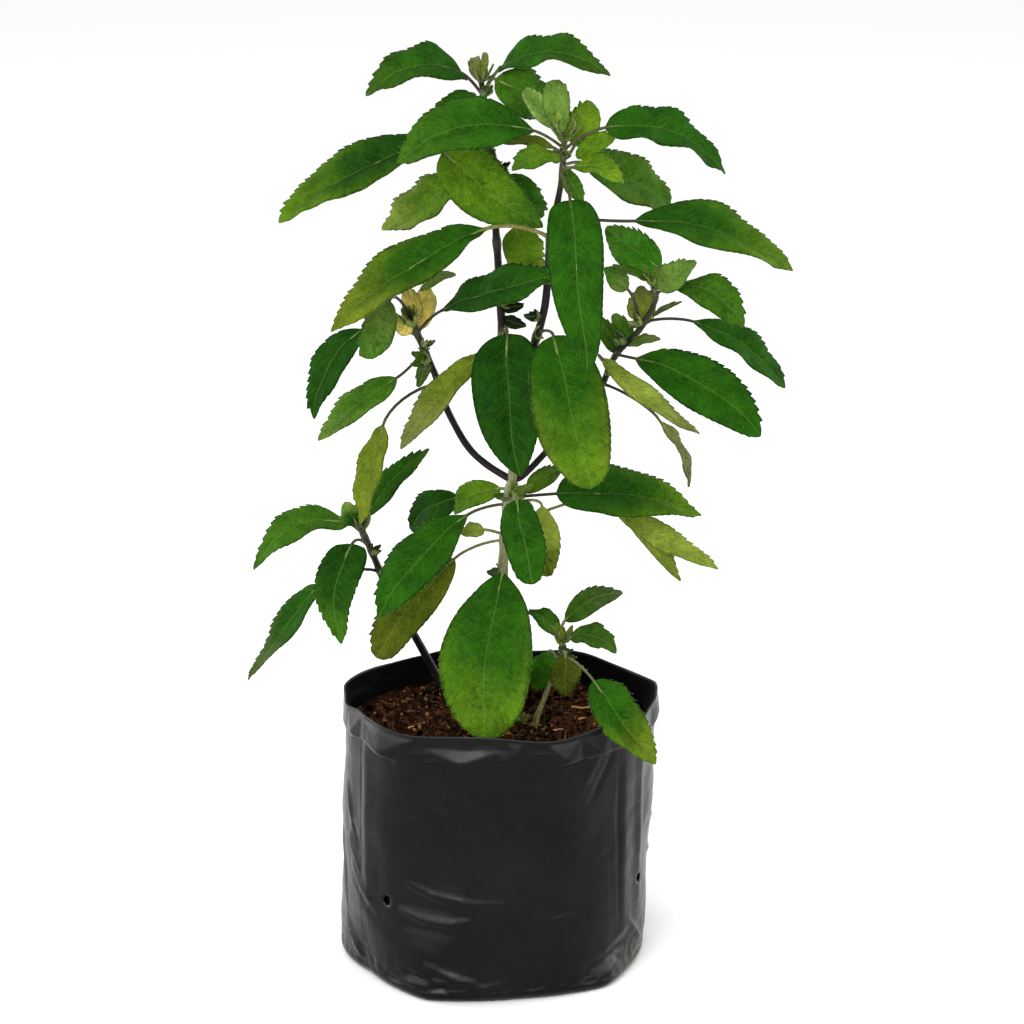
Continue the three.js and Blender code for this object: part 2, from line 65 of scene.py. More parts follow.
def addNode(tree, kind, inputs=(), stops=(), **settings):
    # inputs by name or number, or in order; a node given as an input stands for its first live output
    node = tree.nodes.new("ShaderNode" + kind)
    for name, value in settings.items():
        setattr(node, name, value)
    for name, value in inputs.items() if isinstance(inputs, dict) else enumerate(inputs):
        if isinstance(value, bpy.types.Node):
            value = next(socket for socket in value.outputs if socket.enabled)
        if isinstance(value, bpy.types.NodeSocket):
            tree.links.new(value, node.inputs[name])
        else:
            node.inputs[name].default_value = value
    if stops:
        ramp = node.color_ramp
        while len(ramp.elements) < len(stops):
            ramp.elements.new(0.5)
        for element, (place, colour) in zip(ramp.elements, stops):
            element.position = place
            element.color = linear(colour) if isinstance(colour, str) else (colour, colour, colour, 1)
    return node


def newMaterial(name):
    material = bpy.data.materials.new(name)
    material.use_nodes = True
    material.node_tree.nodes.clear()
    return material, partial(addNode, material.node_tree)


def newObject(name, bm, material):
    mesh = bpy.data.meshes.new(name)
    bm.to_mesh(mesh)
    bm.free()
    mesh.materials.append(material)
    item = bpy.data.objects.new(name, mesh)
    bpy.context.scene.collection.objects.link(item)
    return item


def finishPiece(name, bm, material, node, smoothFaces=True):
    for face in bm.faces:
        face.smooth = smoothFaces
    piece = newObject(name, bm, material)
    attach(piece, "root")
    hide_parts(node)
    print("made", name, len(piece.data.polygons), "faces")
    return piece


# ---- camera, floor and soft studio light

view = {"target": (9, 0, 201), "distance": 2400, "elevation": 18, "lens": 196.2, "farthest": 50000}

rise = math.radians(view["elevation"])
cameraData = bpy.data.cameras.new("camera")
cameraData.lens = view["lens"]
cameraData.clip_end = view["farthest"] * mm
camera = bpy.data.objects.new("camera", cameraData)
targetX, targetY, targetZ = view["target"]
camera.location = (targetX * mm, (targetY - view["distance"] * math.cos(rise)) * mm,
                   (targetZ + view["distance"] * math.sin(rise)) * mm)
camera.rotation_euler = (math.pi / 2 - rise, 0, 0)
bpy.context.scene.collection.objects.link(camera)
bpy.context.scene.camera = camera
bpy.context.scene.view_settings.view_transform = "Standard"

studio = {
    "floorSize": 14000,
    "floor": "#fcfcfb", "floorSpeck": "#fbfbfa",
    "zenith": 1.2, "horizon": 0.34,  # strength of the soft light from above and from the sides
    "aimHeight": 150,
    "lamps": [  # place, size, watts
        {"at": (-420, -1350, 1010), "size": 900, "power": 20},
        {"at": (750, -1500, 520), "size": 350, "power": 2},
        {"at": (-1200, 500, 420), "size": 700, "power": 8},
        {"at": (1250, 450, 420), "size": 700, "power": 11},
    ],
}


def whiteFloor():  # matt white paper sweep, brightest where it fills the picture
    material, add = newMaterial("paperSweep")
    place = add("TexCoord").outputs["Object"]
    speck = add("TexNoise", {"Vector": place, "Scale": 3.0})
    tint = add("Mix", {0: speck, 6: linear(studio["floor"]), 7: linear(studio["floorSpeck"])},
               data_type="RGBA")
    paper = add("BsdfPrincipled", {"Base Color": tint, "Roughness": 0.9})
    paper.inputs["Specular IOR Level"].default_value = 0.1
    add("OutputMaterial", {"Surface": paper})
    bm = bmesh.new()
    bmesh.ops.create_grid(bm, x_segments=2, y_segments=2, size=studio["floorSize"] * mm / 2)
    newObject("floor", bm, material)


def studioLight():  # a white tent, brighter overhead, with softboxes in front and low behind at both sides
    world = bpy.data.worlds.new("studio")
    world.use_nodes = True
    world.node_tree.nodes.clear()
    add = partial(addNode, world.node_tree)
    way = add("SeparateXYZ", [add("TexCoord").outputs["Generated"]])
    strength = add("MapRange", [way.outputs["Z"], 0.0, 1.0, studio["horizon"], studio["zenith"]])
    tent = add("Background", {"Color": linear("#ffffff"), "Strength": strength})
    add("OutputWorld", {"Surface": tent})
    bpy.context.scene.world = world
    middle = Vector((0, 0, studio["aimHeight"] * mm))
    for i, lamp in enumerate(studio["lamps"]):
        data = bpy.data.lights.new(f"lamp{i}", "AREA")
        data.size = lamp["size"] * mm
        data.energy = lamp["power"]
        lampObject = bpy.data.objects.new(f"lamp{i}", data)
        lampObject.location = Vector(lamp["at"]) * mm
        lampObject.rotation_euler = (middle - lampObject.location).to_track_quat("-Z", "Y").to_euler()
        bpy.context.scene.collection.objects.link(lampObject)


whiteFloor()
studioLight()
print("studio ready")


# ---- materials

leafFinish = {
    "vein": "#a3b667", "under": "#7f9358",
    "darkest": (0.28, 0.37, 0.26, 1), "lightest": (2.0, 1.78, 1.7, 1),  # times the leaf's tone
    "streaks": (3.6, 26.0, 1.0), "mottle": 430.0, "patches": 95.0, "cells": 620.0,
    "roughness": (0.5, 0.68), "relief": 0.0005,
}


def basilLeafMaterial():
    # Living holy basil leaf: matt and a little hairy, puckered between its veins, so it takes light softly.
    # Its cells show as short streaks 1 mm wide along the faint side veins, and its midrib is 0.5 mm wide.
    material, add = newMaterial("basilLeafBlade")
    tone = add("Attribute", attribute_name="leafTone")
    under = add("Attribute", attribute_name="under")
    veinMap = add("UVMap", uv_map="veinMap")
    bladeMap = add("UVMap", uv_map="bladeMap")
    place = add("TexCoord").outputs["Object"]
    vein = add("SeparateXYZ", [veinMap])
    bladePlace = add("SeparateXYZ", [bladeMap])
    fromRib = add("Math", [vein.outputs["X"]], operation="ABSOLUTE")
    rib = add("MapRange", [fromRib, 0.008, 0.036, 0.42, 0.0], interpolation_type="SMOOTHSTEP")
    shifted = add("Math", [vein.outputs["Y"], 10.0], operation="MULTIPLY")
    whole = add("Math", [shifted, 1.0], operation="PINGPONG")
    sideVein = add("MapRange", [whole, 0.03, 0.2, 1.0, 0.0], interpolation_type="SMOOTHSTEP")
    across = add("Math", [bladePlace.outputs["X"], 0.5], operation="SUBTRACT")
    outward = add("Math", [across], operation="ABSOLUTE")
    fade = add("MapRange", [outward, 0.1, 0.45, 0.08, 0.0])
    sideFaded = add("Math", [sideVein, fade], operation="MULTIPLY")
    veins = add("Math", [rib, sideFaded], operation="MAXIMUM")

    along = add("Mapping", {"Vector": veinMap, "Scale": leafFinish["streaks"]})
    streaks = add("TexNoise",
                  {"Vector": along, "Scale": 1.0, "Detail": 3.0, "Roughness": 0.65, "Distortion": 0.4})
    mottle = add("TexNoise",
                 {"Vector": place, "Scale": leafFinish["mottle"], "Detail": 4.0, "Roughness": 0.7})
    patches = add("TexNoise", {"Vector": place, "Scale": leafFinish["patches"], "Detail": 2.0})
    cells = add("TexVoronoi", {"Vector": place, "Scale": leafFinish["cells"]}, feature="DISTANCE_TO_EDGE")
    pucker = add("MapRange", [cells, 0.0, 0.3, 0.0, 1.0], interpolation_type="SMOOTHSTEP")
    dark = add("Mix", {0: 1.0, 6: tone, 7: leafFinish["darkest"]}, data_type="RGBA", blend_type="MULTIPLY")
    light = add("Mix", {0: 1.0, 6: tone, 7: leafFinish["lightest"]}, data_type="RGBA",
                blend_type="MULTIPLY")
    grain = add("Mix", {0: 0.5, 2: mottle, 3: streaks})
    spread = add("MapRange", [grain, 0.33, 0.67, 0.0, 1.0])
    patch = add("MapRange", [patches, 0.3, 0.7, 0.0, 1.0])
    share = add("Mix", {0: 0.36, 2: spread, 3: patch})
    # painted shade: the blade is painted darker in a thin band along its margin, standing in for the teeth's
    # shadow
    margin = add("MapRange", [outward, 0.44, 0.5, 0.0, 0.4])
    marginShaded = add("Math", [share, margin], operation="SUBTRACT", use_clamp=True)
    surface = add("Mix", {0: marginShaded, 6: dark, 7: light}, data_type="RGBA")
    veinTone = add("Mix", {0: 0.34, 6: tone, 7: linear(leafFinish["vein"])}, data_type="RGBA")
    veined = add("Mix", {0: veins, 6: surface, 7: veinTone}, data_type="RGBA")
    pale = add("Mix", {0: 0.42, 6: veined, 7: linear(leafFinish["under"])}, data_type="RGBA")
    sided = add("Mix", {0: under.outputs["Fac"], 6: veined, 7: pale}, data_type="RGBA")
    cushions = add("Math", [pucker, 0.6], operation="MULTIPLY")
    relief = add("Math", [cushions, streaks], operation="ADD")
    grooved = add("Math", [relief, veins], operation="SUBTRACT")
    bump = add("Bump", {"Height": grooved, "Strength": 0.8, "Distance": leafFinish["relief"]})
    gloss = add("MapRange", [mottle, 0.3, 0.7, *leafFinish["roughness"]])
    leafSkin = add("BsdfPrincipled", {"Base Color": sided, "Roughness": gloss, "Normal": bump})
    leafSkin.inputs["IOR"].default_value = 1.42
    leafSkin.inputs["Specular IOR Level"].default_value = 0.07
    add("OutputMaterial", {"Surface": leafSkin})
    return material


barkFinish = {
    "darkest": (0.6, 0.55, 0.55, 1), "lightest": (1.5, 1.45, 1.4, 1),  # times the bark's tone
    "streaks": 1900.0, "roughness": (0.32, 0.5), "relief": 0.0002,
}


def basilBarkMaterial():
    # Young woody bark of holy basil: smooth and slightly glossy with fine lengthwise streaks 0.5 mm wide.
    material, add = newMaterial("basilBark")
    tone = add("Attribute", attribute_name="barkTone")
    place = add("TexCoord").outputs["Object"]
    stretched = add("Mapping", {"Vector": place, "Scale": (1.0, 1.0, 0.18)})
    streaks = add("TexNoise", {"Vector": stretched, "Scale": barkFinish["streaks"], "Detail": 2.0})
    spread = add("MapRange", [streaks, 0.3, 0.7, 0.0, 1.0])
    dark = add("Mix", {0: 1.0, 6: tone, 7: barkFinish["darkest"]}, data_type="RGBA", blend_type="MULTIPLY")
    light = add("Mix", {0: 1.0, 6: tone, 7: barkFinish["lightest"]}, data_type="RGBA",
                blend_type="MULTIPLY")
    streaked = add("Mix", {0: spread, 6: dark, 7: light}, data_type="RGBA")
    bump = add("Bump", {"Height": streaks, "Strength": 0.3, "Distance": barkFinish["relief"]})
    gloss = add("MapRange", [streaks, 0.3, 0.7, *barkFinish["roughness"]])
    barkSkin = add("BsdfPrincipled", {"Base Color": streaked, "Roughness": gloss, "Normal": bump})
    barkSkin.inputs["Specular IOR Level"].default_value = 0.16
    add("OutputMaterial", {"Surface": barkSkin})
    return material


def plantHairMaterial():
    # Soft plant hairs: whitish and dull, with a green cast near the stem.
    material, add = newMaterial("plantHair")
    place = add("TexCoord").outputs["Object"]
    varied = add("TexNoise", {"Vector": place, "Scale": 300.0})
    colour = add("ValToRGB", [varied], stops=[(0.3, "#8f9c62"), (0.7, "#c6cba2")])
    hair = add("BsdfPrincipled", {"Base Color": colour, "Roughness": 0.6})
    add("OutputMaterial", {"Surface": hair})
    return material


# Two of these colours are painted light: the grey laid on film seen at a slant is a painted sheen, and the
# grey laid on film that looks up is painted top light.
bagFinish = {
    "darkest": "#040405", "lightest": "#0b0b0c", "dust": "#29292a", "paintedSheen": "#2d2d2d", "paintedTopLight": "#565758",
    "mud": "#5c5343",
    "rounds": 70.0, "drawn": 170.0, "clouds": 26.0,
    "roughness": (0.22, 0.34), "relief": 0.0014,
}


def polytheneMaterial():
    # Black polythene tubing, blown and handled: a satin film whose gloss varies, with fine creases 2 to 8 mm
    # apart that run round the bag. Thin dust lies on it in random clouds. Film that looks up is painted a
    # lighter grey as painted top light, film seen at a slant is painted grey as a painted sheen, and a little
    # mud sticks low down at the sides.
    material, add = newMaterial("blackPolythene")
    place = add("TexCoord").outputs["Object"]
    level = add("SeparateXYZ", [place])
    slant = add("LayerWeight", {"Blend": 0.5}).outputs["Facing"]
    facing = add("NewGeometry").outputs["Normal"]
    upward = add("SeparateXYZ", [facing]).outputs["Z"]
    flattened = add("Mapping", {"Vector": place, "Scale": (1.0, 1.0, 3.2)})
    standing = add("Mapping", {"Vector": place, "Scale": (1.0, 1.0, 0.16)})
    rounds = add("TexNoise", {"Vector": flattened, "Scale": bagFinish["rounds"], "Detail": 4.0,
                              "Roughness": 0.55, "Distortion": 0.6})
    drawn = add("TexNoise", {"Vector": standing, "Scale": bagFinish["drawn"], "Detail": 3.0})
    cloud = add("TexNoise",
                {"Vector": place, "Scale": bagFinish["clouds"], "Detail": 5.0, "Roughness": 0.6})
    dustShare = add("MapRange", [cloud, 0.4, 0.75, 0.0, 0.18])
    # painted sheen: film seen at a slant is painted grey, as a glancing reflection would show it, in streaks
    # and less of it low down
    slantSheenShare = add("MapRange", [slant, 0.58, 0.98, 0.0, 1.0], interpolation_type="SMOOTHSTEP")
    streaky = add("MapRange", [drawn, 0.3, 0.7, 0.35, 1.0])
    higher = add("MapRange", [level.outputs["Z"], 0.02, 0.1, 0.4, 1.0])
    streakySheen = add("Math", [slantSheenShare, streaky], operation="MULTIPLY")
    paintedSheen = add("Math", [streakySheen, higher], operation="MULTIPLY")
    lowDown = add("MapRange", [level.outputs["Z"], 0.03, 0.004, 0.0, 0.9])
    fromMiddle = add("Math", [level.outputs["X"]], operation="ABSOLUTE")
    sideways = add("MapRange", [fromMiddle, 0.042, 0.06, 0.35, 1.15])
    lowCloud = add("Math", [lowDown, cloud], operation="MULTIPLY")
    muddy = add("Math", [lowCloud, sideways], operation="MULTIPLY")
    film = add("Mix", {0: rounds, 6: linear(bagFinish["darkest"]), 7: linear(bagFinish["lightest"])},
               data_type="RGBA")
    dusty = add("Mix", {0: dustShare, 6: film, 7: linear(bagFinish["dust"])}, data_type="RGBA")
    sheened = add("Mix", {0: paintedSheen, 6: dusty, 7: linear(bagFinish["paintedSheen"])}, data_type="RGBA")
    # painted top light: film that looks up is painted a lighter grey, as light from above would show it,
    # fading where it looks straight up
    topLightShare = add("ValToRGB", [upward], stops=[(0.08, 0.0), (0.45, 0.3), (0.75, 0.3), (0.95, 0.0)])
    topLit = add("Mix", {0: topLightShare, 6: sheened, 7: linear(bagFinish["paintedTopLight"])}, data_type="RGBA")
    mud = add("MapRange", [muddy, 0.38, 0.7, 0.0, 0.5])
    muddied = add("Mix", {0: mud, 6: topLit, 7: linear(bagFinish["mud"])}, data_type="RGBA")
    height = add("Math", [rounds, drawn], operation="ADD")
    bump = add("Bump", {"Height": height, "Strength": 0.22, "Distance": bagFinish["relief"]})
    gloss = add("MapRange", [cloud, 0.3, 0.7, *bagFinish["roughness"]])
    filmSkin = add("BsdfPrincipled", {"Base Color": muddied, "Roughness": gloss, "Normal": bump})
    filmSkin.inputs["IOR"].default_value = 1.51
    filmSkin.inputs["Specular IOR Level"].default_value = 0.1
    add("OutputMaterial", {"Surface": filmSkin})
    return material


soilFinish = {
    "grainShades": [(0.32, "#2a2622"), (0.5, "#b0aca8"), (0.7, "#ffe9d2")],  # times the soil's tone
    "grains": 620.0, "lumps": 420.0, "relief": 0.0008,
}


def pottingMixMaterial():
    # Moist potting mix of bark fines and coir: dull, from near black to red brown, grains 0.5 to 3 mm.
    material, add = newMaterial("pottingMix")
    tone = add("Attribute", attribute_name="soilTone")
    place = add("TexCoord").outputs["Object"]
    grains = add("TexNoise",
                 {"Vector": place, "Scale": soilFinish["grains"], "Detail": 4.0, "Roughness": 0.7})
    lumps = add("TexVoronoi", {"Vector": place, "Scale": soilFinish["lumps"]})
    shade = add("ValToRGB", [grains], stops=soilFinish["grainShades"])
    mixed = add("Mix", {0: 1.0, 6: tone, 7: shade}, data_type="RGBA", blend_type="MULTIPLY")
    height = add("Math", [grains, lumps], operation="ADD")
    bump = add("Bump", {"Height": height, "Strength": 0.8, "Distance": soilFinish["relief"]})
    mixSkin = add("BsdfPrincipled", {"Base Color": mixed, "Roughness": 0.92, "Normal": bump})
    mixSkin.inputs["Specular IOR Level"].default_value = 0.03
    add("OutputMaterial", {"Surface": mixSkin})
    return material


leafBlade = basilLeafMaterial()
bark = basilBarkMaterial()
plantHair = plantHairMaterial()
polythene = polytheneMaterial()
pottingMix = pottingMixMaterial()
print("materials ready")


# ---- leaves and stems

blade = {
    "thickness": 0.45,
    "shoulder": 0.55,  # outline exponents: base and tip, lower is blunter
    "end": 0.82,
    "fold": 13,
    "arch": 1,
    "bow": 0,
    "teeth": 1.0,
    "twist": 9,
    "toothSpacing": 3.1,
    "toothDepth": 0.6,
    "toothVariety": (0.35, 1.5),
    "lowTeeth": 0.25,  # how far the teeth stand out on a margin that looks down
    "veinSpacing": 6.2,
    "veinSweep": 0.2,  # how far a side vein runs forward by the margin, as a share of the length
    "veinStagger": 0.35,  # side veins of the left half start this share of their spacing further on
    "quilting": 0.6,  # depth of the furrow that a side vein lies in
    "pillow": 0.13,  # swelling of each half, as a share of its width
    "waviness": 1.5, "waves": (1.6, 2.8),
    "slack": 1.2, "slackGrain": 0.12,
    "sway": 0.5, "swayWaves": 8.2,
    "toneChange": (0.4, 1.0),  # where the near tone gives way to the far one
    "edgeTone": 0.6,
    "fullWidths": (18, 20, 22),  # blades this wide have full teeth, all grid columns and full waves
    "columns": 14,
    "rowsPerTooth": 3,
    "neckWidth": 1.7,
    "tipWidth": 0.7,
    "hairLength": 0.7, "hairShare": 0.5,
    "petioleRadius": 0.68,
}
toothStep = [(-1.0, 0.0), (-0.15, 0.05), (0.45, 0.4)]  # outward and forward, notch to point
wholeTurn = 6.28
veinMapScale = 10  # mm from the midrib that make 1 on the vein map
veinMapVeins = 5  # side veins that make 1 along it


def leafAt(start, neck, tip, width, faces, near, **shape):
    # start and neck of the petiole, tip, width, upper face as a lean or a way, tone at the base; shape can
    # hold tones far and edge, arch and bow of the midrib in mm, fold, shoulder, end and teeth as in blade,
    # the petiole's colour and how thick the stalk is
    return {"start": start, "neck": neck, "tip": tip, "width": width, "near": near,
            "faces": faces if isinstance(faces, tuple) else lean(faces), **shape}


def tuftAt(at, way, count, size, near, **shape):  # shape can hold far, spread and slim
    return {"at": at, "way": way, "count": count, "size": size, "near": near, **shape}


def bladeAxes(leaf):
    neck = Vector(leaf["neck"])
    chord = Vector(leaf["tip"]) - neck
    heading = chord.normalized()
    upper = Vector(leaf["faces"])
    upper = (upper - heading * upper.dot(heading)).normalized()
    return neck, chord, heading, upper, heading.cross(upper)


def leafTone(name):
    return linear(leafTones[name])


def outlineAt(v, shoulder, end):
    broadest = shoulder / (shoulder + end)
    return v ** shoulder * (1 - v) ** end / (broadest ** shoulder * (1 - broadest) ** end)


def growLeaf(bm, leaf, dice, hairSpots, fine=1.0):
    tones = bm.verts.layers.float_color["leafTone"]
    unders = bm.verts.layers.float["under"]
    bladeMap = bm.loops.layers.uv["bladeMap"]
    veinMap = bm.loops.layers.uv["veinMap"]
    neck, chord, heading, upper, across = bladeAxes(leaf)
    length, width = chord.length, leaf["width"]
    arch, bow, shoulder, end = (leaf.get(key, blade[key]) for key in ("arch", "bow", "shoulder", "end"))
    fold = math.radians(leaf.get("fold", blade["fold"]))
    toothSize, gridSize, big = (min(1.0, width / full) for full in blade["fullWidths"])
    toothCount = max(4, round(length / blade["toothSpacing"]))
    rows = toothCount * blade["rowsPerTooth"]
    columns = max(6, 2 * round(blade["columns"] * gridSize * fine / 2))
    depth = blade["toothDepth"] * toothSize
    veinCount = max(4, length / blade["veinSpacing"])
    stagger = blade["veinStagger"] / veinCount
    wave = blade["waviness"] * big
    slack = blade["slack"] * big
    phases = [dice.uniform(0, wholeTurn) for _ in range(4)]
    waveCount = dice.uniform(*blade["waves"])
    twist = math.radians(dice.uniform(-blade["twist"], blade["twist"]))
    upTeeth = 1 - blade["lowTeeth"]
    jagged = [leaf.get("teeth", blade["teeth"]) * (blade["lowTeeth"] + upTeeth * smooth(-0.35, 0.4, way))
              for way in (-across.z, across.z)]
    teeth = [[dice.uniform(*blade["toothVariety"]) * jagged[side] for _ in range(toothCount + 1)]
             for side in range(2)]
    near, far = leafTone(leaf["near"]), leafTone(leaf.get("far", leaf["near"]))
    edge = leafTone(leaf.get("edge", leaf.get("far", leaf["near"])))

    grid = bmesh.ops.create_grid(bm, x_segments=columns, y_segments=rows, size=0.5)["verts"]
    maps = {}
    spots = []
    for vert in grid:
        u = vert.co.x * 2
        v = vert.co.y + 0.5
        row = round(v * rows)
        side = 0 if u < 0 else 1
        smoothHalf = width / 2 * outlineAt(min(0.9995, max(0.0005, v)), shoulder, end)
        bare = (blade["neckWidth"] * (1 - v) + blade["tipWidth"] * v) / 2
        smoothHalf = max(bare, smoothHalf)
        outward, forward = toothStep[row % blade["rowsPerTooth"]]
        size = teeth[side][row // blade["rowsPerTooth"]] * smooth(0.02, 0.14, v) * smooth(1.0, 0.93, v)
        marginShare = abs(u) ** 12
        half = smoothHalf + depth * outward * size * marginShare
        along = v + forward / toothCount * size * marginShare
        bend = 4 * along * (1 - along)
        w = v - blade["veinSweep"] * abs(u) ** 1.3
        sided = w + (stagger if u < 0 else 0.0)
        furrow = abs(((sided * veinCount) % 1.0) - 0.5) * 2  # 1 on a vein and 0 between two
        calm = smooth(0, 0.12, v) * smooth(1, 0.88, v)  # the neck and the tip are plain
        quilted = smooth(0.02, 0.2, abs(u)) * smooth(1.0, 0.7, abs(u)) * calm  # neither midrib nor margin
        quilt = -blade["quilting"] * big * furrow ** 2 * quilted
        ripple = wave * u * u * math.sin(wholeTurn * waveCount * v + phases[side]) * calm
        pillow = blade["pillow"] * half * math.sin(math.pi * abs(u))
        lift = arch * bend + abs(u) * half * math.sin(fold) + quilt + ripple + pillow
        spot = Vector((u * half * blade["slackGrain"], v * length * blade["slackGrain"], phases[2]))
        lift += slack * calm * noise.noise(spot)
        sway = blade["sway"] * big * math.sin(blade["swayWaves"] * v + phases[3]) * calm
        turn = twist * v * u * half
        reach = bow * bend + u * half * math.cos(fold) + sway
        vert.co = (neck + chord * along + upper * (lift + turn) + across * reach) * mm
        wander = noise.noise(Vector((u * 2, v * 4, phases[0])))
        shade = blend(near, far, smooth(*blade["toneChange"], v + 0.2 * wander))
        vert[tones] = blend(shade, edge, blade["edgeTone"] * abs(u) ** 3 * smooth(0.1, 0.6, v))
        maps[vert] = (u, v, u * half / veinMapScale, w)
        if abs(u) > 0.99 and 0.05 < v < 0.98:
            spots.append((vert, u))
    faces = list(dict.fromkeys(face for vert in grid for face in vert.link_faces))
    for face in faces:
        shift = stagger if min(maps[vert][0] for vert in face.verts) < -0.001 else 0.0
        for loop in face.loops:
            u, v, fromRib, w = maps[loop.vert]
            loop[bladeMap].uv = (u / 2 + 0.5, v)
            loop[veinMap].uv = (fromRib, (w + shift) * veinCount / veinMapVeins)
        face.normal_update()
    for vert in grid:
        vert.normal_update()
    for vert, u in spots:
        if dice.random() < blade["hairShare"]:
            way = (across * math.copysign(1, u) + heading * 0.4).normalized()
            hairSpots.append((vert.co.copy(), way, blade["hairLength"]))
    count = len(bm.verts)
    bmesh.ops.solidify(bm, geom=faces, thickness=blade["thickness"] * mm)
    bm.verts.ensure_lookup_table()
    for vert in bm.verts[count:]:
        vert[unders] = 1.0


def petiolePath(leaf, steps):
    neck, chord, heading, upper, across = bladeAxes(leaf)
    start = Vector(leaf["start"])
    arch, bow = (leaf.get(key, blade[key]) for key in ("arch", "bow"))
    into = (chord + upper * arch * 4 + across * bow * 4).normalized()
    bendPoint = neck - into * ((neck - start).length / 2)
    firstHandle, lastHandle = start.lerp(bendPoint, 0.6), bendPoint.lerp(neck, 0.5)
    path = geometry.interpolate_bezier(start, firstHandle, lastHandle, neck, steps)
    under = []
    for i in range(1, 7):  # the petiole runs on as the rib under the blade
        v = i * 0.09
        bend = 4 * v * (1 - v)
        sunk = arch * bend - 0.5 - 0.1 * i / 7
        under.append(neck + chord * v + upper * sunk + across * (bow * bend))
    return path, under


def routeThrough(points, perSpan):
    path = []
    last = len(points) - 1
    for i in range(last):
        before, a, b, after = (Vector(points[max(0, min(last, k))]) for k in (i - 1, i, i + 1, i + 2))
        span = geometry.interpolate_bezier(a, a + (b - before) / 6, b - (after - a) / 6, b, perSpan + 1)
        path += span if not path else span[1:]
    return path


def nextRing(bm, edges):
    grown = bmesh.ops.extrude_edge_only(bm, edges=edges)["geom"]
    ring = [item for item in grown if isinstance(item, bmesh.types.BMVert)]
    inRing = set(ring)
    edges = [item for item in grown if isinstance(item, bmesh.types.BMEdge)
             and item.verts[0] in inRing and item.verts[1] in inRing]
    return ring, edges


def growTube(bm, path, radii, shades, sides):
    tones = bm.verts.layers.float_color["barkTone"]
    ring = bmesh.ops.create_circle(bm, cap_ends=False, segments=sides, radius=1)["verts"]
    circle = [vert.co.copy() for vert in ring]
    edges = list(dict.fromkeys(edge for vert in ring for edge in vert.link_edges))
    turn = Vector((0, 0, 1)).rotation_difference((path[1] - path[0]).normalized())
    heading = (path[1] - path[0]).normalized()
    rings = []
    for i, point in enumerate(path):
        ahead = (path[min(i + 1, len(path) - 1)] - path[max(i - 1, 0)]).normalized()
        turn = heading.rotation_difference(ahead) @ turn
        heading = ahead
        if i:
            ring, edges = nextRing(bm, edges)
        for vert, spot in zip(ring, circle):
            vert.co = (point + turn @ spot * radii[i]) * mm
            vert[tones] = shades[i]
        rings.append(ring)
    for last in (rings[0], rings[-1]):
        bmesh.ops.contextual_create(bm, geom=last)
    return rings


hairShape = {"radius": 0.045, "taper": 0.25, "sides": 3, "standing": 0.46, "jitter": 0.35,
             "lengths": (0.6, 1.3)}


def growHairs(name, spots, node):
    bm = bmesh.new()
    root, point = hairShape["radius"] * mm, hairShape["radius"] * mm * hairShape["taper"]
    for place, way, length in spots:
        turn = Vector((0, 0, 1)).rotation_difference(way).to_matrix().to_4x4()
        middle = Matrix.Translation(place + way * (length * mm * hairShape["standing"]))
        bmesh.ops.create_cone(bm, cap_ends=True, segments=hairShape["sides"], radius1=root, radius2=point,
                              depth=length * mm, matrix=middle @ turn)
    finishPiece(name, bm, plantHair, node, smoothFaces=False)


def tubeHairs(rings, dice, spots, share, length):
    for ring in rings[1:-1]:
        middle = sum((vert.co for vert in ring), Vector()) / len(ring)
        for vert in ring:
            if dice.random() < share:
                way = (vert.co - middle).normalized()
                jitter = [dice.uniform(-hairShape["jitter"], hairShape["jitter"]) for _ in range(3)]
                way = (way + Vector(jitter)).normalized()
                spots.append((vert.co.copy(), way, length * dice.uniform(*hairShape["lengths"])))


tuftShape = {"turn": 2.4, "jitter": 0.5, "out": (0.25, 0.95), "lengths": (0.6, 1.1), "widths": (0.38, 0.55),
             "arch": -0.1, "fold": 28, "fine": 0.6}


def growTuft(bm, tuft, dice, hairSpots):  # very young leaves in a leaf's armpit or at a stem's end
    middle = Vector(tuft["at"])
    main = Vector(tuft["way"]).normalized()
    for i in range(tuft["count"]):
        turn = i * tuftShape["turn"] + dice.uniform(-tuftShape["jitter"], tuftShape["jitter"])
        side = main.orthogonal().normalized()
        side.rotate(Matrix.Rotation(turn, 3, main))
        way = (main + side * dice.uniform(*tuftShape["out"]) * tuft.get("spread", 1.0)).normalized()
        size = tuft["size"] * dice.uniform(*tuftShape["lengths"])
        width = size * dice.uniform(*tuftShape["widths"]) * tuft.get("slim", 1.0)
        faces = tuple(main - way * 0.3 + side * 0.1)
        near, far = tuft["near"], tuft.get("far", tuft["near"])
        young = leafAt(None, middle + way * 0.3, middle + way * size, width, faces, near, far=far,
                       arch=tuftShape["arch"] * size, fold=tuftShape["fold"])
        growLeaf(bm, young, dice, hairSpots, tuftShape["fine"])


stemShape = {
    "stepsPerSpan": 7, "sides": 12, "hairy": 0.25, "hairLength": 0.8,
    "joint": 2.4, "jointSwell": 0.28, "jointShade": "#6d7a48", "jointTint": 0.15,
    "knobbly": 0.06, "knobGrain": 0.25,
    "petioleSteps": 9, "petioleSides": 8, "petioleHairy": 0.5, "petioleHairLength": 0.9,
    "petioleFoot": 1.25, "ribTaper": 0.13, "ribShade": "#9aad6a",
}


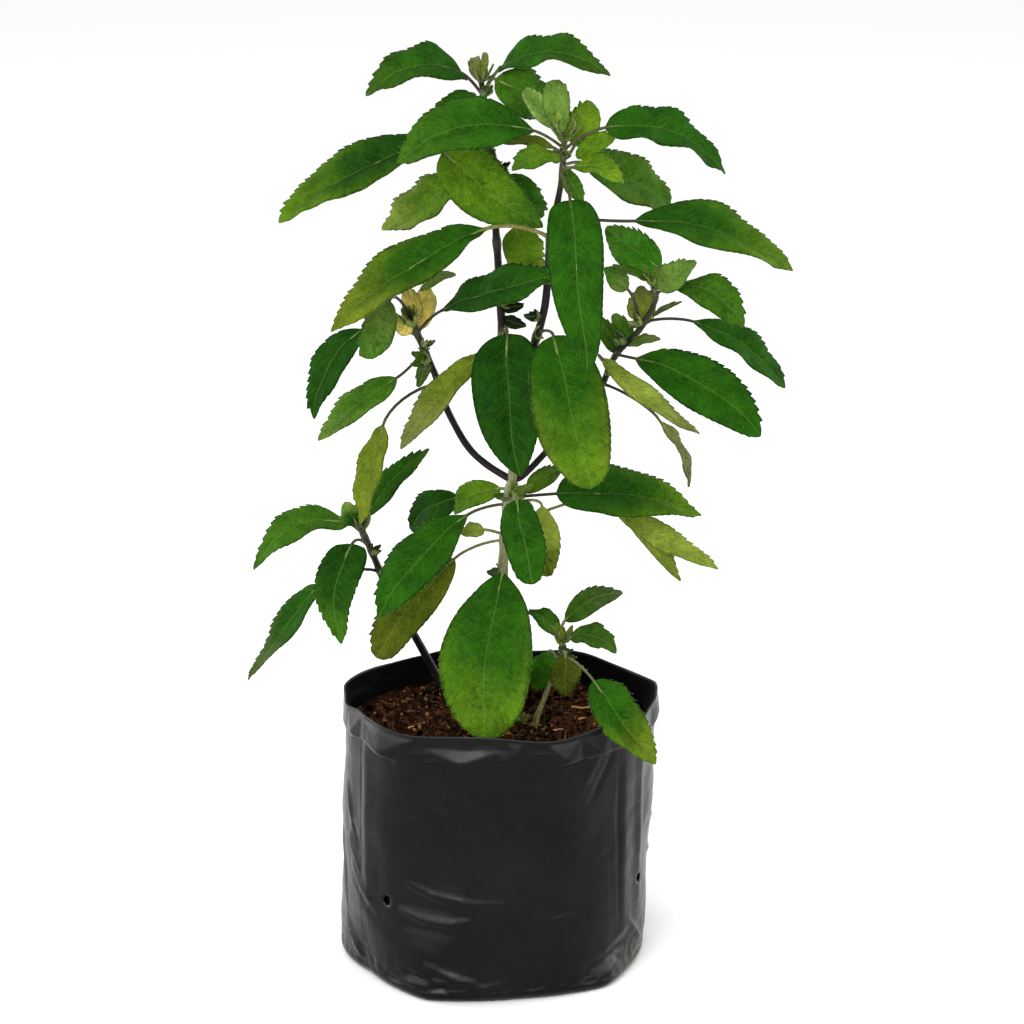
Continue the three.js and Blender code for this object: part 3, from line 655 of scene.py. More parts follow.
def growStem(bm, plant, stem, dice, hairSpots):
    path = routeThrough(stem["route"], stemShape["stepsPerSpan"])
    joints = [leaf["start"] for leaf in plant["leaves"] if leaf["start"]] + list(stem.get("joints", ()))
    barkShades = [linear(shade) for shade in stem["bark"]]
    jointShade = linear(stemShape["jointShade"])
    foot, top = stem["radii"]
    radii, shades = [], []
    for i, point in enumerate(path):
        share = i / (len(path) - 1)
        swell = max(math.exp(-((point - Vector(joint)).length / stemShape["joint"]) ** 2) for joint in joints)
        wander = 1 + stemShape["knobbly"] * noise.noise(point * stemShape["knobGrain"])
        radii.append((foot * (1 - share) + top * share) * (1 + stemShape["jointSwell"] * swell) * wander)
        place = share * (len(barkShades) - 1)
        low = min(int(place), len(barkShades) - 2)
        shade = blend(barkShades[low], barkShades[low + 1], place - low)
        shades.append(blend(shade, jointShade, stemShape["jointTint"] * swell))
    rings = growTube(bm, path, radii, shades, stemShape["sides"])
    tubeHairs(rings, dice, hairSpots, stem.get("hairy", stemShape["hairy"]), stemShape["hairLength"])


def growPetiole(bm, plant, leaf, dice, hairSpots):
    steps = stemShape["petioleSteps"]
    path, under = petiolePath(leaf, steps)
    full = blade["petioleRadius"] * leaf.get("stalk", 1.0)
    radii = [full * stemShape["petioleFoot"]] + [full] * (steps - 1)
    radii += [full * (1 - stemShape["ribTaper"] * i) for i in range(1, len(under) + 1)]
    stalkShade, bladeShade = linear(leaf.get("petiole", plant["petiole"])), leafTone(leaf["near"])
    shades = [blend(stalkShade, bladeShade, 0.35 * smooth(0.4, 1, i / steps)) for i in range(steps)]
    shades += [blend(stalkShade, blend(bladeShade, linear(stemShape["ribShade"]), 0.5), 0.8)] * len(under)
    rings = growTube(bm, path + under, radii, shades, stemShape["petioleSides"])
    tubeHairs(rings[:steps], dice, hairSpots, stemShape["petioleHairy"], stemShape["petioleHairLength"])


def growPlant(plant):
    dice = random.Random(plant["seed"])
    hairSpots = []
    leaves = bmesh.new()
    leaves.verts.layers.float_color.new("leafTone")
    leaves.verts.layers.float.new("under")
    leaves.loops.layers.uv.new("bladeMap")
    leaves.loops.layers.uv.new("veinMap")
    stems = bmesh.new()
    stems.verts.layers.float_color.new("barkTone")
    for stem in plant["stems"]:
        growStem(stems, plant, stem, dice, hairSpots)
    for leaf in plant["leaves"]:
        growLeaf(leaves, leaf, dice, hairSpots)
        if leaf["start"]:
            growPetiole(stems, plant, leaf, dice, hairSpots)
    for tuft in plant["tufts"]:
        growTuft(leaves, tuft, dice, hairSpots)
    name, node, slot = plant["name"], plant["node"], plant["slot"]
    finishPiece(name + "Leaves", leaves, leafBlade, node)
    finishPiece(name + "Stems", stems, bark, node)
    growHairs(name + "Hairs", hairSpots, node)


leafTones = {  # greens of this plant, from old shaded leaves to young and yellowing ones
    "ink": "#122411",
    "forest": "#153c05",
    "deep": "#1d4a05",
    "moss": "#2b4b0e",
    "bronze": "#3d4a0d",
    "dull": "#3e4e2b",
    "leaf": "#325b10",
    "olive": "#536516",
    "bright": "#377415",
    "spring": "#486b0f",
    "fresh": "#516f2c",
    "sage": "#616c38",
    "lime": "#5b7e17",
    "yellowing": "#718530",
    "pale": "#91ad65",
    "straw": "#cabb60",
}

trunkPlant = {
    "name": "trunk", "node": "trunk", "slot": "trunk_leaves", "seed": 11, "petiole": "#6b6f3e",
    "stems": [{
        "route": [(6, 6, 62), (6, 6, 106), (6, 5, 132), (5, 2, 172), (6, 1, 185), (7, -1, 202), (9, -2, 216),
                  (10, -2, 225), (11, -3, 236)],
        "radii": (2.6, 2.0), "bark": ["#4a3a2c", "#5c5a42", "#7a8060", "#6e7654"], "hairy": 0.5,
    }],
    "leaves": [
        leafAt((6, 1, 187), (5, -17, 179), (-3, -56, 117), 40, 90, "deep", far="spring", edge="spring",
               arch=5, bow=3, fold=8, shoulder=0.72, end=0.55, teeth=0.6),
        leafAt((8, -1, 205), (-10, -10, 203), (-48, -38, 166), 23, 50, "deep", arch=6, bow=2, shoulder=0.9,
               petiole="#45452e"),
        leafAt((6, 1, 188), (-16, -4, 181), (-49.5, -18, 141), 20, 60, "olive", far="bronze", arch=3,
               bow=1.5, end=0.45),
        leafAt((8, -1, 209), (-14, 18, 202), (-35, 32, 182), 15, 60, "forest", arch=3, bow=3),
        leafAt((8, -1, 211), (4, 2, 211), (-16, 10, 197), 12, 60, "spring", far="leaf", arch=3, bow=3),
        leafAt((9, -1, 212), (15, 4, 208.5), (31, 20, 214), 9, 60, "spring", far="forest", arch=2, bow=-1),
        leafAt((8, -1, 208), (28, 4, 208), (91, 14, 195), 29, 36, "deep", far="spring", arch=3.5, bow=-2,
               shoulder=0.5, end=0.9, petiole="#2a2620"),
        leafAt((6, 1, 188), (54, 19, 196.5), (98, 2, 174.5), 12.5, 45, "yellowing", arch=1, bow=1),
        leafAt((53, 19, 194), (60, 19, 192), (82, 8, 167), 9, 45, "yellowing", far="olive", arch=1, bow=-1),
        leafAt((8, -1, 207), (11, -14, 211), (18, -32, 179), 18, 90, "deep", arch=5, fold=8, shoulder=0.35,
               end=0.4),
        leafAt((8, -1, 204), (22, -2, 204), (24, -10, 175), 14, 90, "yellowing", far="olive", arch=2,
               end=0.55),
        leafAt((6, 1, 190), (-3, -3, 194), (-13, -6, 193), 8, 40, "yellowing"),
        leafAt(None, (5, 2, 172), (-2, -1, 174), 5, 60, "dull", far="ink"),
    ],
    "tufts": [
        tuftAt((5, 2, 173), (-1, -0.4, 0.4), 5, 5, "dull"),
        tuftAt((6, 0, 187), (0.7, -0.4, 0.6), 4, 6, "moss"),
        tuftAt((9, -4, 210), (0.6, -0.5, 0.8), 6, 9, "fresh", far="yellowing"),
        tuftAt((13, -3, 105.5), (0.1, -0.4, 1), 7, 5, "yellowing", spread=1.6, slim=0.7),
        tuftAt((20, -14, 104.5), (0.2, -0.4, 1), 6, 5, "olive", spread=1.6, slim=0.5),
        tuftAt((8, -3, 208), (-0.7, -0.5, 0.6), 4, 7, "moss"),
    ],
}

leftPlant = {
    "name": "leftShoot", "node": "shoot_left", "slot": "left_leaves", "seed": 12, "petiole": "#2e281e",
    "stems": [{
        "route": [(9, -2, 216), (-2, 0, 222.5), (-10.5, 1, 231), (-19, 2, 247), (-23, 3, 259.5),
                  (-29, 4, 274), (-33, 4, 283)],
        "radii": (1.6, 1.4), "bark": ["#1c1614", "#0b070a", "#0d090c", "#17150f"], "hairy": 0.1,
    }],
    "leaves": [
        leafAt((-32, 4, 279), (-55, 9, 280), (-76, 6, 241), 16.5, 40, "forest", arch=2, bow=5,
               petiole="#1c1714"),
        leafAt((-29, 4, 272), (-40.5, 0, 261), (-73.3, -20, 239.5), 14, 35, "leaf", far="fresh", arch=1,
               bow=1),
        leafAt((-32, 4, 281), (-43, -6, 297), (-53, -18, 275), 15, 90, "fresh", far="leaf", arch=2,
               end=0.5),
        leafAt((-32, 4, 281), (-31, 9, 280), (-27, 20, 296), 11, 90, "straw", edge="sage", arch=2, end=0.7),
        leafAt((-31, 4, 280), (-21, 0, 291), (29, -19, 311), 21, 40, "forest", far="deep", arch=2, bow=-1,
               shoulder=0.9),
        leafAt((-32, 4, 281), (-30, 18, 295), (-15, 28, 299), 6, 40, "fresh", far="dull", arch=4),
        leafAt((-22, 3, 258), (-46, -10, 243), (-55.5, -26, 204), 14, (-0.6, -0.8, 0.3), "olive", arch=1),
        leafAt(None, (-27, 4, 269), (-31, 0, 257), 6, 80, "dull", far="moss"),
        leafAt(None, (-34, 3, 280), (-42, 2, 289), 8, 80, "straw", far="sage"),
        leafAt(None, (-32, 8, 283), (-36, 12, 300), 9, 80, "straw", far="sage"),
    ],
    "tufts": [
        tuftAt((-33, 3, 283), (-0.3, -0.3, 1), 8, 9, "sage", far="yellowing"),
        tuftAt((-29, 3, 274), (0.7, -0.4, 0.6), 5, 6, "dull"),
        tuftAt((-26, 3, 268), (-0.7, -0.5, 0.3), 5, 8, "moss"),
        tuftAt((-22, 2, 260), (0.5, -0.6, 0.5), 4, 5, "dull"),
    ],
}

rightPlant = {
    "name": "rightShoot", "node": "shoot_right", "slot": "right_leaves", "seed": 13, "petiole": "#332f26",
    "stems": [{
        "route": [(9, -2, 216), (14.5, -1, 218.5), (27, 1, 232), (36, 3, 245), (47, 5, 256), (53, 6, 269),
                  (63, 7, 280), (70, 8, 293), (69, 8, 300)],
        "radii": (1.5, 1.1), "bark": ["#1c1614", "#0b070a", "#0e0a0c", "#1c1a15", "#3c4428"], "hairy": 0.1,
    }],
    "leaves": [
        leafAt((70, 8, 298), (72.5, 14, 305.5), (49, 32, 318.5), 17.5, 80, "bright", far="leaf", arch=3),
        leafAt((69, 8, 298), (67, 4, 303.5), (48.5, -1, 309.5), 9.5, 10, "leaf", far="fresh"),
        leafAt((70, 8, 298), (71, 4, 300), (87, -6, 314), 13, 60, "fresh", arch=2),
        leafAt((70, 8, 295), (78, 4, 301), (107, -14, 288), 18, 50, "leaf", arch=2, bow=-5, shoulder=0.85),
        leafAt((66, 7, 284), (87, 16, 281.5), (127, 26, 249), 16, 40, "deep", arch=3, bow=-3, shoulder=0.7,
               end=0.7),
        leafAt((53, 6, 270), (62, -1, 270), (114.5, -22, 242), 24, 70, "deep", far="deep", arch=3, bow=-5.5,
               shoulder=0.7, end=0.68),
        leafAt((51, 6, 263), (47.5, -12, 273), (88, -36, 247.5), 11.5, 25, "yellowing", far="sage", bow=3),
        leafAt((48, 5, 257), (71, 3, 243), (85, 4, 211), 14, (1, -0.25, 0.4), "sage", far="dull", arch=3,
               shoulder=0.9, end=0.45),
        leafAt(None, (65, 8, 282), (64, 18, 297), 13, 80, "yellowing", far="sage"),
        leafAt((63, 7, 281), (58, 2, 300), (48, -2, 310), 9, 70, "fresh", far="bright"),
        leafAt(None, (60, 7, 276), (52, 12, 286), 9, 80, "leaf", far="fresh"),
        leafAt(None, (58, 7, 274), (72, -2, 279), 6, 40, "fresh", far="sage"),
        leafAt(None, (69, 6, 287), (81, 0, 295), 3, 40, "dull"),
        leafAt(None, (55, 8, 270), (46, 10, 286), 9, 80, "moss", far="leaf"),
    ],
    "tufts": [
        tuftAt((69, 7, 300), (0.1, -0.2, 1), 9, 9, "fresh", far="yellowing"),
        tuftAt((64, 6, 283), (-0.8, -0.4, 0.6), 6, 8, "sage"),
        tuftAt((58, 6, 275), (-0.8, -0.4, 0.5), 6, 8, "dull"),
        tuftAt((50, 5, 261), (0.3, -0.7, 0.8), 5, 7, "olive"),
        tuftAt((43, 4, 252), (0.8, -0.5, 0.2), 3, 5, "dull"),
    ],
}

centreLeftPlant = {
    "name": "centreLeftShoot", "node": "shoot_centre_left", "slot": "centre_left_leaves", "seed": 14,
    "petiole": "#4c4830",
    "stems": [{
        "route": [(10, -2, 228), (8, 0, 254), (5, 3, 280), (3, 6, 312), (2, 7, 329), (2, 8, 351),
                  (-1, 8, 364), (-3, 8, 382), (-4, 8, 390)],
        "radii": (2.0, 1.1), "bark": ["#3c3a28", "#150e0f", "#0d080b", "#0d090b", "#17150f"], "hairy": 0.12,
        "joints": [(3, 6, 319), (5, 3, 292)],
    }],
    "leaves": [
        leafAt((-3, 8, 382), (-12, 8, 392.5), (-52, -13, 388), 23, 35, "deep", far="moss", arch=8, bow=3,
               shoulder=0.28, end=0.7, petiole="#3a2c24"),
        leafAt((-3, 8, 382), (5, 10, 395), (50, -12, 396.5), 21.5, 30, "deep", far="moss", arch=7.5, bow=-3,
               shoulder=0.28, end=0.8),
        leafAt((-2, 8, 384), (2, 6, 390.5), (23.5, 14, 373), 21, 60, "leaf", far="deep", arch=3, bow=-1),
        leafAt((-1, 8, 364), (-21, 4, 365), (-89, -16, 334), 26, 24, "forest", far="spring", arch=4, bow=2,
               shoulder=0.6, end=0.7),
        leafAt((2, 8, 359), (-20, 0, 361), (22, -7, 329.5), 27, 75, "spring", far="leaf", arch=3, bow=2,
               shoulder=0.42),
        leafAt((2, 8, 351), (-12, 18, 342), (-47, 36, 317), 21, 45, "spring", far="yellowing", edge="sage",
               arch=2),
        leafAt((2, 8, 348), (6, 12, 347), (22, 26, 325), 15, 70, "deep", far="leaf", arch=2),
        leafAt((2, 7, 332), (10, 18, 323), (21, 32, 293), 18, 90, "spring", far="olive", edge="yellowing",
               arch=2, shoulder=0.42, end=1.0),
        leafAt((5, 3, 281), (-1, -8, 277), (-38, -34, 240), 13.5, 30, "olive", far="sage", arch=1, bow=2,
               shoulder=0.9, petiole="#5d6630", stalk=1.5),
        leafAt((5, 3, 280), (7, -8, 283), (12.5, -28, 226), 33, 90, "forest", edge="forest", arch=4, bow=2,
               fold=20, shoulder=0.42, end=0.72, teeth=0.3),
        leafAt(None, (-4, 8, 387), (-7.5, 7, 399.5), 6, 80, "sage", shoulder=1.1, end=0.3),
        leafAt(None, (-4, 8, 387), (-2, 6, 402), 3.5, 80, "olive", far="sage", shoulder=1.2, end=0.5),
        leafAt(None, (5, 4, 291), (14, 1, 293), 6, 70, "ink"),
        leafAt(None, (5, 4, 286), (15, 0, 284), 6, 70, "ink"),
        leafAt(None, (-6, 4, 384), (-23, -4, 381.5), 7, 50, "deep"),
    ],
    "tufts": [
        tuftAt((-4, 7, 389), (0, -0.1, 1), 14, 10, "dull", far="olive", spread=1.3, slim=0.3),
        tuftAt((-3, 7, 383), (0.2, -0.6, 0.7), 5, 6, "dull"),
        tuftAt((5, 3, 292), (0.8, -0.4, 0.4), 5, 6, "ink"),
        tuftAt((2.5, 4, 295), (-0.65, -0.2, 0.75), 5, 13, "ink", spread=0.7),
        tuftAt((2, 7, 350), (0.6, -0.5, 0.6), 3, 9, "ink"),
    ],
}

centreRightPlant = {
    "name": "centreRightShoot", "node": "shoot_centre_right", "slot": "centre_right_leaves", "seed": 15,
    "petiole": "#46442c",
    "stems": [{
        "route": [(11, -3, 230), (13, -5, 253), (17, -7, 273), (23, -9, 296), (25, -11, 326), (28, -12, 341),
                  (30, -13, 354), (31, -14, 372)],
        "radii": (2.1, 1.1), "bark": ["#34321f", "#100a0d", "#0c080a", "#12100c", "#4a5030"], "hairy": 0.15,
    }],
    "leaves": [
        leafAt((31, -14, 365), (18, -17, 374), (-39, -28, 363), 28, 45, "deep", far="leaf", arch=6, bow=6,
               shoulder=0.75),
        leafAt((25, -11, 326), (-2, -15, 331), (-67, -32, 291), 26, 30, "deep", far="olive", arch=3, bow=3,
               shoulder=0.8, end=0.9, petiole="#6c6c3a", stalk=1.35),
        leafAt((31, -14, 365), (48, -12, 374), (99, 0, 351), 21, 32, "deep", arch=7, bow=-5, shoulder=0.4),
        leafAt((32, -14, 362), (35, -12, 366), (42, 2, 382), 15, 90, "lime", far="spring", arch=2),
        leafAt((31, -14, 364), (30, -17, 373), (26, -6, 393), 12, 90, "fresh", arch=2, end=0.45),
        leafAt((31, -14, 359), (34, -24, 360), (55, -42, 358), 14, 30, "spring", far="lime", arch=3,
               bow=-2),
        leafAt((30, -13, 357), (40, -1, 356), (77, 21, 329), 22, 50, "leaf", edge="olive", arch=3, bow=-2),
        leafAt((28, -12, 336), (61, -6, 332), (128.5, 6, 307), 27, 32, "deep", far="spring", arch=6, bow=-3,
               shoulder=0.7, end=0.8, petiole="#3c332a"),
        leafAt((30, -14, 359), (28, -22, 365), (9, -40, 363), 14, 30, "spring", far="leaf", arch=2),
        leafAt((30, -14, 361), (26, -6, 364), (1, 3, 364), 8, 25, "olive", far="moss", arch=2),
        leafAt((30, -13, 355), (33.3, -26, 346.3), (40.5, -50, 279), 24, 90, "deep", arch=9, fold=9,
               shoulder=0.26, end=0.6, teeth=0.3),
        leafAt((19, -8, 283), (26.5, -16, 284.5), (42.5, -42, 225), 33, 90, "deep", far="spring",
               edge="olive", arch=6, fold=9, shoulder=0.45, end=0.5, teeth=0.3),
        leafAt(None, (31, -14, 368), (28, -15, 382), 6, 80, "lime", far="yellowing"),
        leafAt(None, (31, -14, 368), (35, -15, 381), 5, 80, "lime", far="olive"),
        leafAt(None, (21, -8, 291), (14, -12, 292), 5, 80, "ink", far="ink"),
        leafAt(None, (29, -16, 374), (14, -6, 389), 9, 80, "fresh", far="fresh", edge="pale", end=0.5),
        leafAt(None, (31.5, -14, 356.5), (38.5, -16, 342), 8, 90, "leaf"),
        leafAt(None, (36, -14, 361.5), (53, -8, 370.5), 10, 50, "spring", far="lime", arch=2),
    ],
    "tufts": [
        tuftAt((31, -15, 370), (0, -0.2, 1), 16, 12, "dull", far="sage", slim=0.35),
        tuftAt((30, -15, 362), (0, -1, 0.6), 8, 8, "dull", far="sage"),
        tuftAt((26, -12, 328), (0.5, -0.6, 0.6), 4, 5, "dull"),
        tuftAt((21, -8, 290), (-0.8, -0.4, 0.6), 5, 6, "ink"),
        tuftAt((19, -8, 283), (0.5, -0.8, 0.4), 4, 6, "sage"),
    ],
}

basalPlant = {
    "name": "basalShoot", "node": "basal_shoot_left", "slot": "basal_leaves", "seed": 16,
    "petiole": "#3c3a2a",
    "stems": [{
        "route": [(-11, 35, 76), (-20, 31, 106), (-29, 28, 126), (-41, 22, 151), (-47, 17, 165),
                  (-52, 11, 180), (-56, 8, 190)],
        "radii": (2.1, 1.3), "bark": ["#281c1f", "#1c1318", "#140f12", "#22211a"], "hairy": 0.15,
    }],
    "leaves": [
        leafAt((-55, 8, 187), (-62, 6, 194), (-102, -12, 179), 17, 30, "leaf", arch=8, bow=5, shoulder=0.5),
        leafAt((-54, 9, 187), (-54, 16, 194), (-27, 32, 219.5), 12, (-0.3, -0.7, 0.6), "deep", far="moss",
               bow=-2),
        leafAt((-55, 8, 187), (-58, 2, 195), (-63, -2, 206), 11, 70, "forest", far="fresh"),
        leafAt((-52, 11, 179), (-60, 0, 186.5), (-64.5, -16, 146.5), 20, 90, "forest", far="leaf", arch=2,
               bow=5, shoulder=0.3, end=0.8),
        leafAt((-48, 15, 169), (-75, 8, 165), (-106, 8, 121.5), 14, (-0.6, -0.7, 0.5), "deep", far="dull",
               arch=1, end=1.2),
    ],
    "tufts": [
        tuftAt((-56, 7, 190), (-0.2, -0.2, 1), 7, 8, "dull", far="sage"),
        tuftAt((-52, 10, 179), (0.7, -0.5, 0.5), 5, 6, "ink"),
        tuftAt((-48, 14, 168), (0.7, -0.5, 0.5), 4, 5, "dull"),
    ],
}

seedlingPlant = {
    "name": "seedling", "node": "seedling_right", "slot": "seedling_leaves", "seed": 17, "petiole": "#6b7450",
    "stems": [
        {"route": [(17, -2, 88), (19, -3, 106), (22, -3, 114), (25, -4, 123), (29, -5, 133), (31, -5, 146)],
         "radii": (1.1, 0.9), "bark": ["#6f6a44", "#7d7d52", "#7d8552", "#79884a"], "hairy": 0.5},
        {"route": [(19, -10, 103), (21, -8, 112), (25, -7, 123), (28, -6, 131), (30, -5, 138)],
         "radii": (0.6, 0.5), "bark": ["#7d7a52", "#88905c"], "hairy": 0.5},
    ],
    "leaves": [
        leafAt((31, -5, 142), (32, -2, 152.5), (57, 4, 163), 11.5, 70, "moss", far="dull", arch=2, bow=-3),
        leafAt((31, -5, 142), (29, 0, 145), (16, 5, 154), 11, 30, "leaf", far="forest", arch=2, bow=1),
        leafAt((31, -5, 142), (34, -8, 147), (54, -15, 142), 14, 30, "moss", arch=3.5, bow=-2),
        leafAt((30, -5, 138), (32, -12, 140), (32, -18, 123), 14, 90, "bronze", far="bronze", arch=2),
        leafAt((29, -5, 134), (25, -2, 138), (19, -2, 120), 12, 80, "bright", arch=1),
        leafAt((30, -5, 137), (44, -34, 136), (70, -58, 107), 20, 50, "deep", far="olive", edge="spring",
               arch=3, bow=1, petiole="#5d6040", stalk=0.8),
        leafAt(None, (31, -5, 142), (28, -7, 153), 5, 80, "lime", far="olive"),
    ],
    "tufts": [
        tuftAt((31, -6, 144), (0, -0.3, 1), 8, 8, "sage", far="sage"),
        tuftAt((30, -6, 139), (0.3, -0.8, 0.4), 6, 6, "dull"),
        tuftAt((30, -5, 136), (0.8, -0.4, 0.4), 4, 7, "dull"),
    ],
}

for plant in (trunkPlant, leftPlant, rightPlant, centreLeftPlant, centreRightPlant, basalPlant,
              seedlingPlant):
    growPlant(plant)


# ---- grow bag

bag = {
    "radius": 66, "height": 118, "spread": 1.5, "lean": 3.5,
    "thickness": 0.4,
    "sides": 400, "wallRows": 108, "hemRows": 16,
    "rounding": 4,
    "lobes": [(5, 0.012, 0.6), (11, 0.009, 2)],  # waves of the mouth: how many, share of the radius, start
    "belly": (3, 0.006, 1),  # the same for the wall half way up
    "rimWaves": [(1, -3, 0), (7, 1.2, 1)],  # rise and fall of the rim: how many, mm, start
    "rimDip": (164, 2.4, 16),  # angle, depth and spread of the lower corner of the mouth
    "bottomCorners": [(-114, 5, 13), (-148, -3.5, 15), (-78, -2, 16), (-44, 5, 13), (62, 5, 15),
                      (138, 5, 15)],
    "mouthCorners": [(166, 0.8, 7), (-158, -1.2, 9), (-148, 0.8, 5), (-22, 1.4, 6), (12, 1.2, 9), (-1, -1, 8),
                     (100, 0.9, 9), (118, -1, 8), (142, 0.9, 8)],  # angle, how far it stands out, spread
    "cornerPower": 1.4,
    "slack": [(2.2, 28, 1.3), (7, 7, 0.25), (12, 4, 1.2)],  # dents, crumples, gathers: times round, up, depth
    "innermost": -1.7, "outermost": 1.6,  # how far the slack film may stand off the wall's own form
    "hemDepth": 10.5,
    "hemStand": 0.75, "hemClosest": 0.5, "hemLoose": 0.7, "hemRipple": 0.25, "hemTuck": 0.55,
    "lipWander": 1.6,
    "foldRadius": 0.45,
    "footCrumple": 0.55, "footGrain": 9,
    "holes": [(-133.5, 41), (-20, 41.5), (100, 38)],  # angle and height of the drainage holes
    "holeRadius": 2.1, "holeTear": 0.45, "holeSink": 0.3,
    "creases": [  # from and to as angle and height, depth (minus is inwards), width
        ((-147, 120), (-144, 22), 1.0, 9.0), ((-150.5, 112), (-149, 44), -0.5, 2.2),
        ((-143, 118), (-130, 103), -1.1, 3.0), ((-139, 119), (-131, 108), 0.8, 1.8),
        ((-36, 112), (-32, 8), 1.0, 8.0), ((-40, 108), (-36, 24), -0.45, 2.0),
        ((-55, 86), (-43, 108), -0.7, 3.0), ((-60, 92), (-49, 110), 0.6, 3.0),
        ((-24, 104), (-19, 26), 0.7, 5.0), ((-125, 52.5), (-112, 48), 1.0, 2.6),
        ((-116, 48.5), (-100, 46.5), 1.2, 2.8), ((-120, 57), (-98, 53), -0.8, 5.4),
        ((-128, 39), (-117, 36.5), 1.0, 2.4), ((-120, 36.5), (-104, 36), 1.3, 2.8),
        ((-108, 36), (-97, 38.5), 0.9, 2.4), ((-128, 43.5), (-104, 41.5), -0.8, 5.0),
        ((-105, 46), (-84, 46.5), 0.6, 2.6), ((-84, 42), (-64, 43), 0.55, 2.6),
        ((-72, 36), (-58, 37.5), 0.5, 2.2), ((-128, 33), (-100, 31), -0.4, 4.4),
        ((-163, 62), (-149, 47), 1.2, 2.8), ((-160, 70), (-150, 55), -0.9, 3.0),
        ((-160, 50), (-141, 37), 1.0, 2.6), ((-157, 43), (-139, 31), -0.6, 3.0),
        ((-166, 86), (-158, 64), 0.9, 3.4), ((-127, 6), (-98, 11), 1.3, 2.8),
        ((-124, 12), (-104, 6), -1.3, 2.6), ((-116, 17), (-94, 8), 1.0, 2.4),
        ((-108, 4), (-84, 9), 0.9, 2.2), ((-58, 8), (-27, 18), -1.3, 5.5), ((-50, 5), (-30, 13), 0.8, 4.0),
        ((-46, 18), (-28, 24), 0.6, 3.6), ((-30, 26), (-12, 8), 1.1, 3.0),
        ((-168, 22), (-150, 7), 1.2, 3.0), ((-176, 62), (-166, 22), 0.8, 3.6),
        ((30, 100), (38, 20), -1.0, 3.0), ((34, 104), (43, 26), 0.8, 5.0), ((60, 16), (96, 7), 1.3, 2.6),
        ((66, 9), (88, 17), -1.0, 2.4), ((120, 112), (126, 12), 1.0, 6.0),
        ((126, 108), (131, 30), -0.7, 3.0), ((132, 14), (160, 10), -1.2, 3.0),
        ((70, 60), (112, 52), 0.9, 2.8), ((74, 44), (104, 47), 0.8, 2.6), ((150, 96), (170, 60), -0.8, 3.8),
        ((0, 62), (20, 54), 0.9, 2.8), ((-6, 48), (14, 44), 0.8, 2.6), ((5, 14), (30, 6), 1.2, 2.6),
    ],
    "facets": [  # angle, height, reach round and up, how far a flat fold of the hem stands out
        (-104, 108.6, 14, 4.6, 2.2), (-66, 110, 7, 7.5, 2.5), (-135, 109.5, 15, 9, 2.8),
        (-84, 112, 2.6, 6, 1.2), (-88, 110, 3, 4, 0.8), (-95, 117, 7, 4, -0.5),
        (-75, 117, 5, 4, -0.5), (-120, 116, 5, 5, -0.5), (-52, 110, 7, 6, 1.3), (-157, 110, 7, 8, 1.9),
        (-30, 111, 9, 7, 1.7), (-5, 112, 8, 5, 1.2), (30, 114, 8, 5, -0.5), (60, 112, 9, 6, 1.4),
        (95, 114, 7, 5, -0.7), (130, 113, 8, 5, 1.2), (160, 114, 7, 5, 0.9),
    ],
}


def angleFrom(a, b):
    return (b - a + 540) % 360 - 180


def around(angle, times, level):  # a place on a ring, for noise that meets itself behind the bag
    turn = math.radians(angle)
    return Vector((math.cos(turn) * times, math.sin(turn) * times, level))


def filmPlace(angle, height, out):  # a point of the film; out is how far it stands off the wall
    turn = math.radians(angle)
    share = height / bag["height"]
    radius = bag["radius"] + bag["spread"] * share + out
    lobes = sum(deep * math.sin(count * turn + start) for count, deep, start in bag["lobes"])
    count, deep, start = bag["belly"]
    belly = deep * math.sin(count * turn + start) * math.sin(math.pi * min(1.0, share))
    low, high = (sum(reach * math.exp(-abs(angleFrom(angle, corner) / wide) ** bag["cornerPower"])
                     for corner, reach, wide in bag[ends]) for ends in ("bottomCorners", "mouthCorners"))
    corners = (low * max(0.0, 1 - share) ** 6 + high * share ** 8) / bag["radius"]
    spread = 1 + lobes * share ** 2 + belly + corners
    rimWave = sum(rises * math.sin(count * turn + start) for count, rises, start in bag["rimWaves"])
    dipAt, dip, dipWide = bag["rimDip"]
    rimWave = share ** 6 * (rimWave - dip * math.exp(-(angleFrom(dipAt, angle) / dipWide) ** 2))
    return Vector((radius * math.cos(turn) * spread + bag["lean"] * share, radius * math.sin(turn) * spread,
                   height + rimWave))


def creaseDepth(angle, height):
    perDegree = bag["radius"] * math.pi / 180
    total = 0.0
    for (a0, z0), (a1, z1), depth, width in bag["creases"]:
        if not min(z0, z1) - width < height < max(z0, z1) + width:
            continue
        x, y = angleFrom(a0, angle) * perDegree, height - z0
        lineX, lineY = (a1 - a0) * perDegree, z1 - z0
        along = min(1.0, max(0.0, (x * lineX + y * lineY) / (lineX ** 2 + lineY ** 2)))
        off = math.hypot(x - lineX * along, y - lineY * along)
        if off < width:  # a sharp ridge with straight flanks, lower towards its ends
            total += depth * (1 - abs(2 * along - 1) ** 3) * (1 - off / width) ** 1.2
    return total


def filmSlack(angle, height):  # broad dents, small crumples, and the gathered film low down
    dents, crumple, gathered = (noise.noise(around(angle, times, height / tall)) * deep
                                for times, tall, deep in bag["slack"])
    gathered = abs(gathered) * smooth(24, 3, height)
    return (dents * smooth(0, 20, height) + crumple - gathered) * smooth(0, 5, height)


def wallOut(angle, height):
    out = creaseDepth(angle, height) + filmSlack(angle, height)
    lowest = bag["innermost"] * smooth(104, 92, height) - 0.3  # the soil's top edge is close behind the film
    return min(bag["outermost"], max(lowest, out)) * smooth(118, 109, height)


